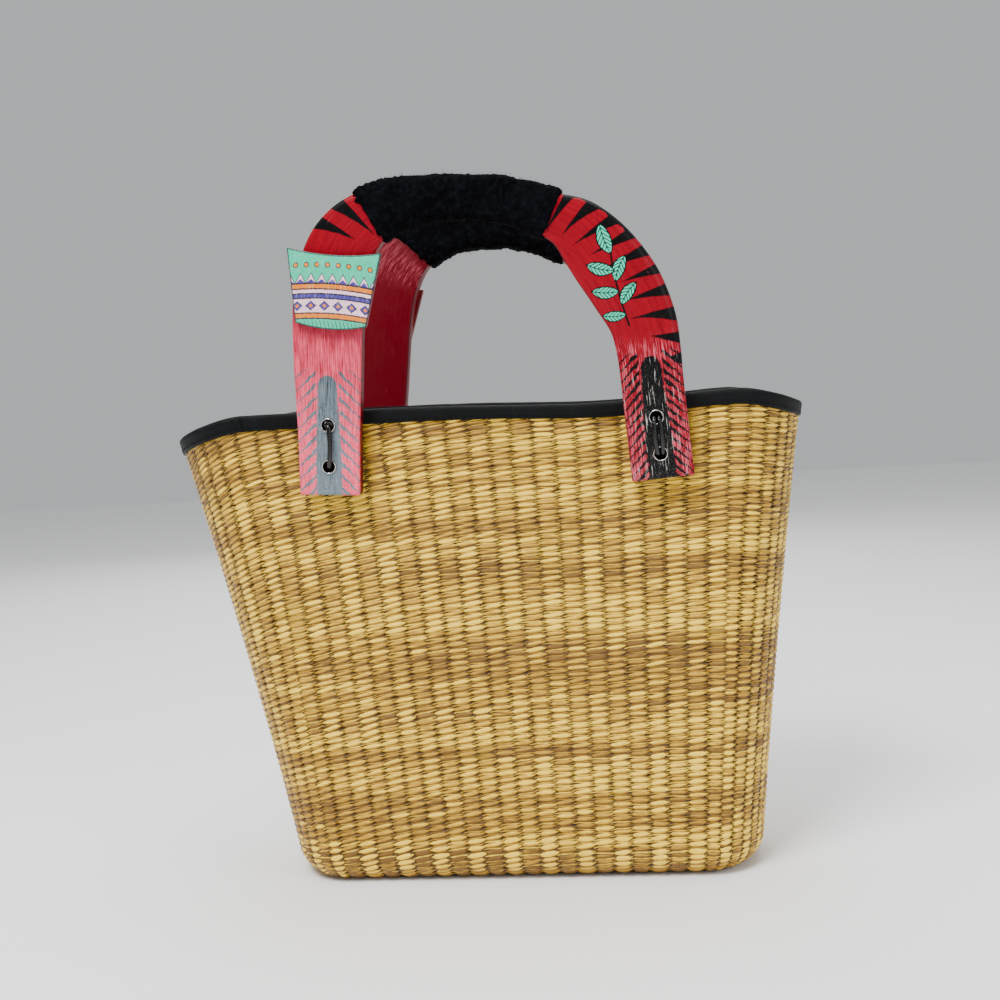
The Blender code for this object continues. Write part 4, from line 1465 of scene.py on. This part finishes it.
def makeHandles():
    decorated, woolLook = woodPaint("handle_paint"), woolMaterial()
    boardPaint, cordLook = plaquePaint(), cordMaterial()
    fibre = makeFibre()
    fuzzTree = fibreTree(woolLook, fibre)
    for label, side in (("front", -1), ("back", 1)):
        board = makeHandle("handle_board_" + label, side, decorated)
        finishPiece(board, "handle_paint", "handle_" + label)
        sleeve, fuzz = makeWrap(label, side, woolLook, fuzzTree)
        finishPiece(sleeve, "wool", "grip_wrap_" + label)
        finishPiece(fuzz, "wool")
        plate = makePlaque("painted_board_" + label, label, side, boardPaint)
        finishPiece(plate, "plaque_paint", "plaque_" + label)
        for leg in ("left", "right"):
            cord = makeLace(f"cord_{label}_{leg}", side, leg, cordLook)
            finishPiece(cord, "lace_cord", f"lace_{label}_{leg}")
    bpy.data.objects.remove(fibre)
    rings = makeEyelets(metalMaterial())
    finishPiece(rings, "eyelet_metal", *[f"eyelet_{label}_{side}_{level}" for label in ("front", "back")
                                         for side in ("left", "right") for level in ("upper", "lower")])


makeHandles()
print("bag: handles, wraps, boards, eyelets and laces are made")

# floor, light and camera

studio = {
    "floor": (0.93, 0.93, 0.93, 1), "reach": 4, "level": -0.0005,
    "sky": (0.96, 0.98, 1.0, 1), "strength": 0.52,
    "lamps": {
        "key": {"place": (-0.5, -1.2, 1.9), "aim": (0, 0, 0.2), "size": 0.8, "power": 62},
        "fill": {"place": (1.7, -1.2, 1.0), "aim": (0, 0, 0.25), "size": 1.2, "power": 16},
        "top": {"place": (0.1, 0.2, 1.9), "aim": (0, 0, 0.2), "size": 1.5, "power": 26},
        "rear": {"place": (-0.4, 1.8, 1.2), "aim": (0, 0, 0.3), "size": 1.4, "power": 12},
    },
}
viewpoint = {"place": (0.1187, -0.992, 0.3402), "yaw": math.radians(6.47), "down": math.radians(4.47),
             "roll": math.radians(-3.31), "focal": 1385, "frameWidth": 1000, "sensor": 36.0}


def makeStage():
    reach = studio["reach"]
    corners = [(x * reach, y * reach, studio["level"]) for x, y in ((-1, -1), (1, -1), (1, 1), (-1, 1))]
    mesh = bpy.data.meshes.new("floor")
    mesh.from_pydata(corners, [], [(0, 1, 2, 3)])
    floor = addObject("floor", mesh, smooth=False)
    mesh.materials.append(newMaterial("floor_white", Base_Color=studio["floor"], Roughness=0.9,
                                      Specular_IOR_Level=0.1)[0])
    for name, lamp in studio["lamps"].items():
        light = bpy.data.lights.new(name, "AREA")
        light.size = lamp["size"]
        light.energy = lamp["power"]
        thing = addObject(name, light, smooth=False)
        thing.location = lamp["place"]
        aim = Vector(lamp["aim"]) - Vector(lamp["place"])
        thing.rotation_euler = aim.to_track_quat("-Z", "Y").to_euler()
    world = bpy.data.worlds.new("studio")
    world.use_nodes = True
    sky = world.node_tree.nodes["Background"]
    sky.inputs["Color"].default_value = studio["sky"]
    sky.inputs["Strength"].default_value = studio["strength"]
    bpy.context.scene.world = world


def makeCamera():
    yaw, down, roll = viewpoint["yaw"], viewpoint["down"], viewpoint["roll"]
    ahead = Vector((-math.sin(yaw) * math.cos(down), math.cos(yaw) * math.cos(down), -math.sin(down)))
    right = Vector((math.cos(yaw), math.sin(yaw), 0))
    up = right.cross(ahead)
    across = math.cos(roll) * right + math.sin(roll) * up
    upward = -math.sin(roll) * right + math.cos(roll) * up
    matrix = Matrix((across, upward, -ahead)).transposed().to_4x4()
    matrix.translation = Vector(viewpoint["place"])
    lens = bpy.data.cameras.new("camera")
    lens.sensor_width = viewpoint["sensor"]
    lens.lens = viewpoint["focal"] / viewpoint["frameWidth"] * viewpoint["sensor"]
    lens.clip_start = 0.01
    camera = addObject("camera", lens, smooth=False)
    camera.matrix_world = matrix
    bpy.context.scene.camera = camera


makeStage()
makeCamera()
print("bag: floor, light and camera are set")

bpy.context.view_layer.update()
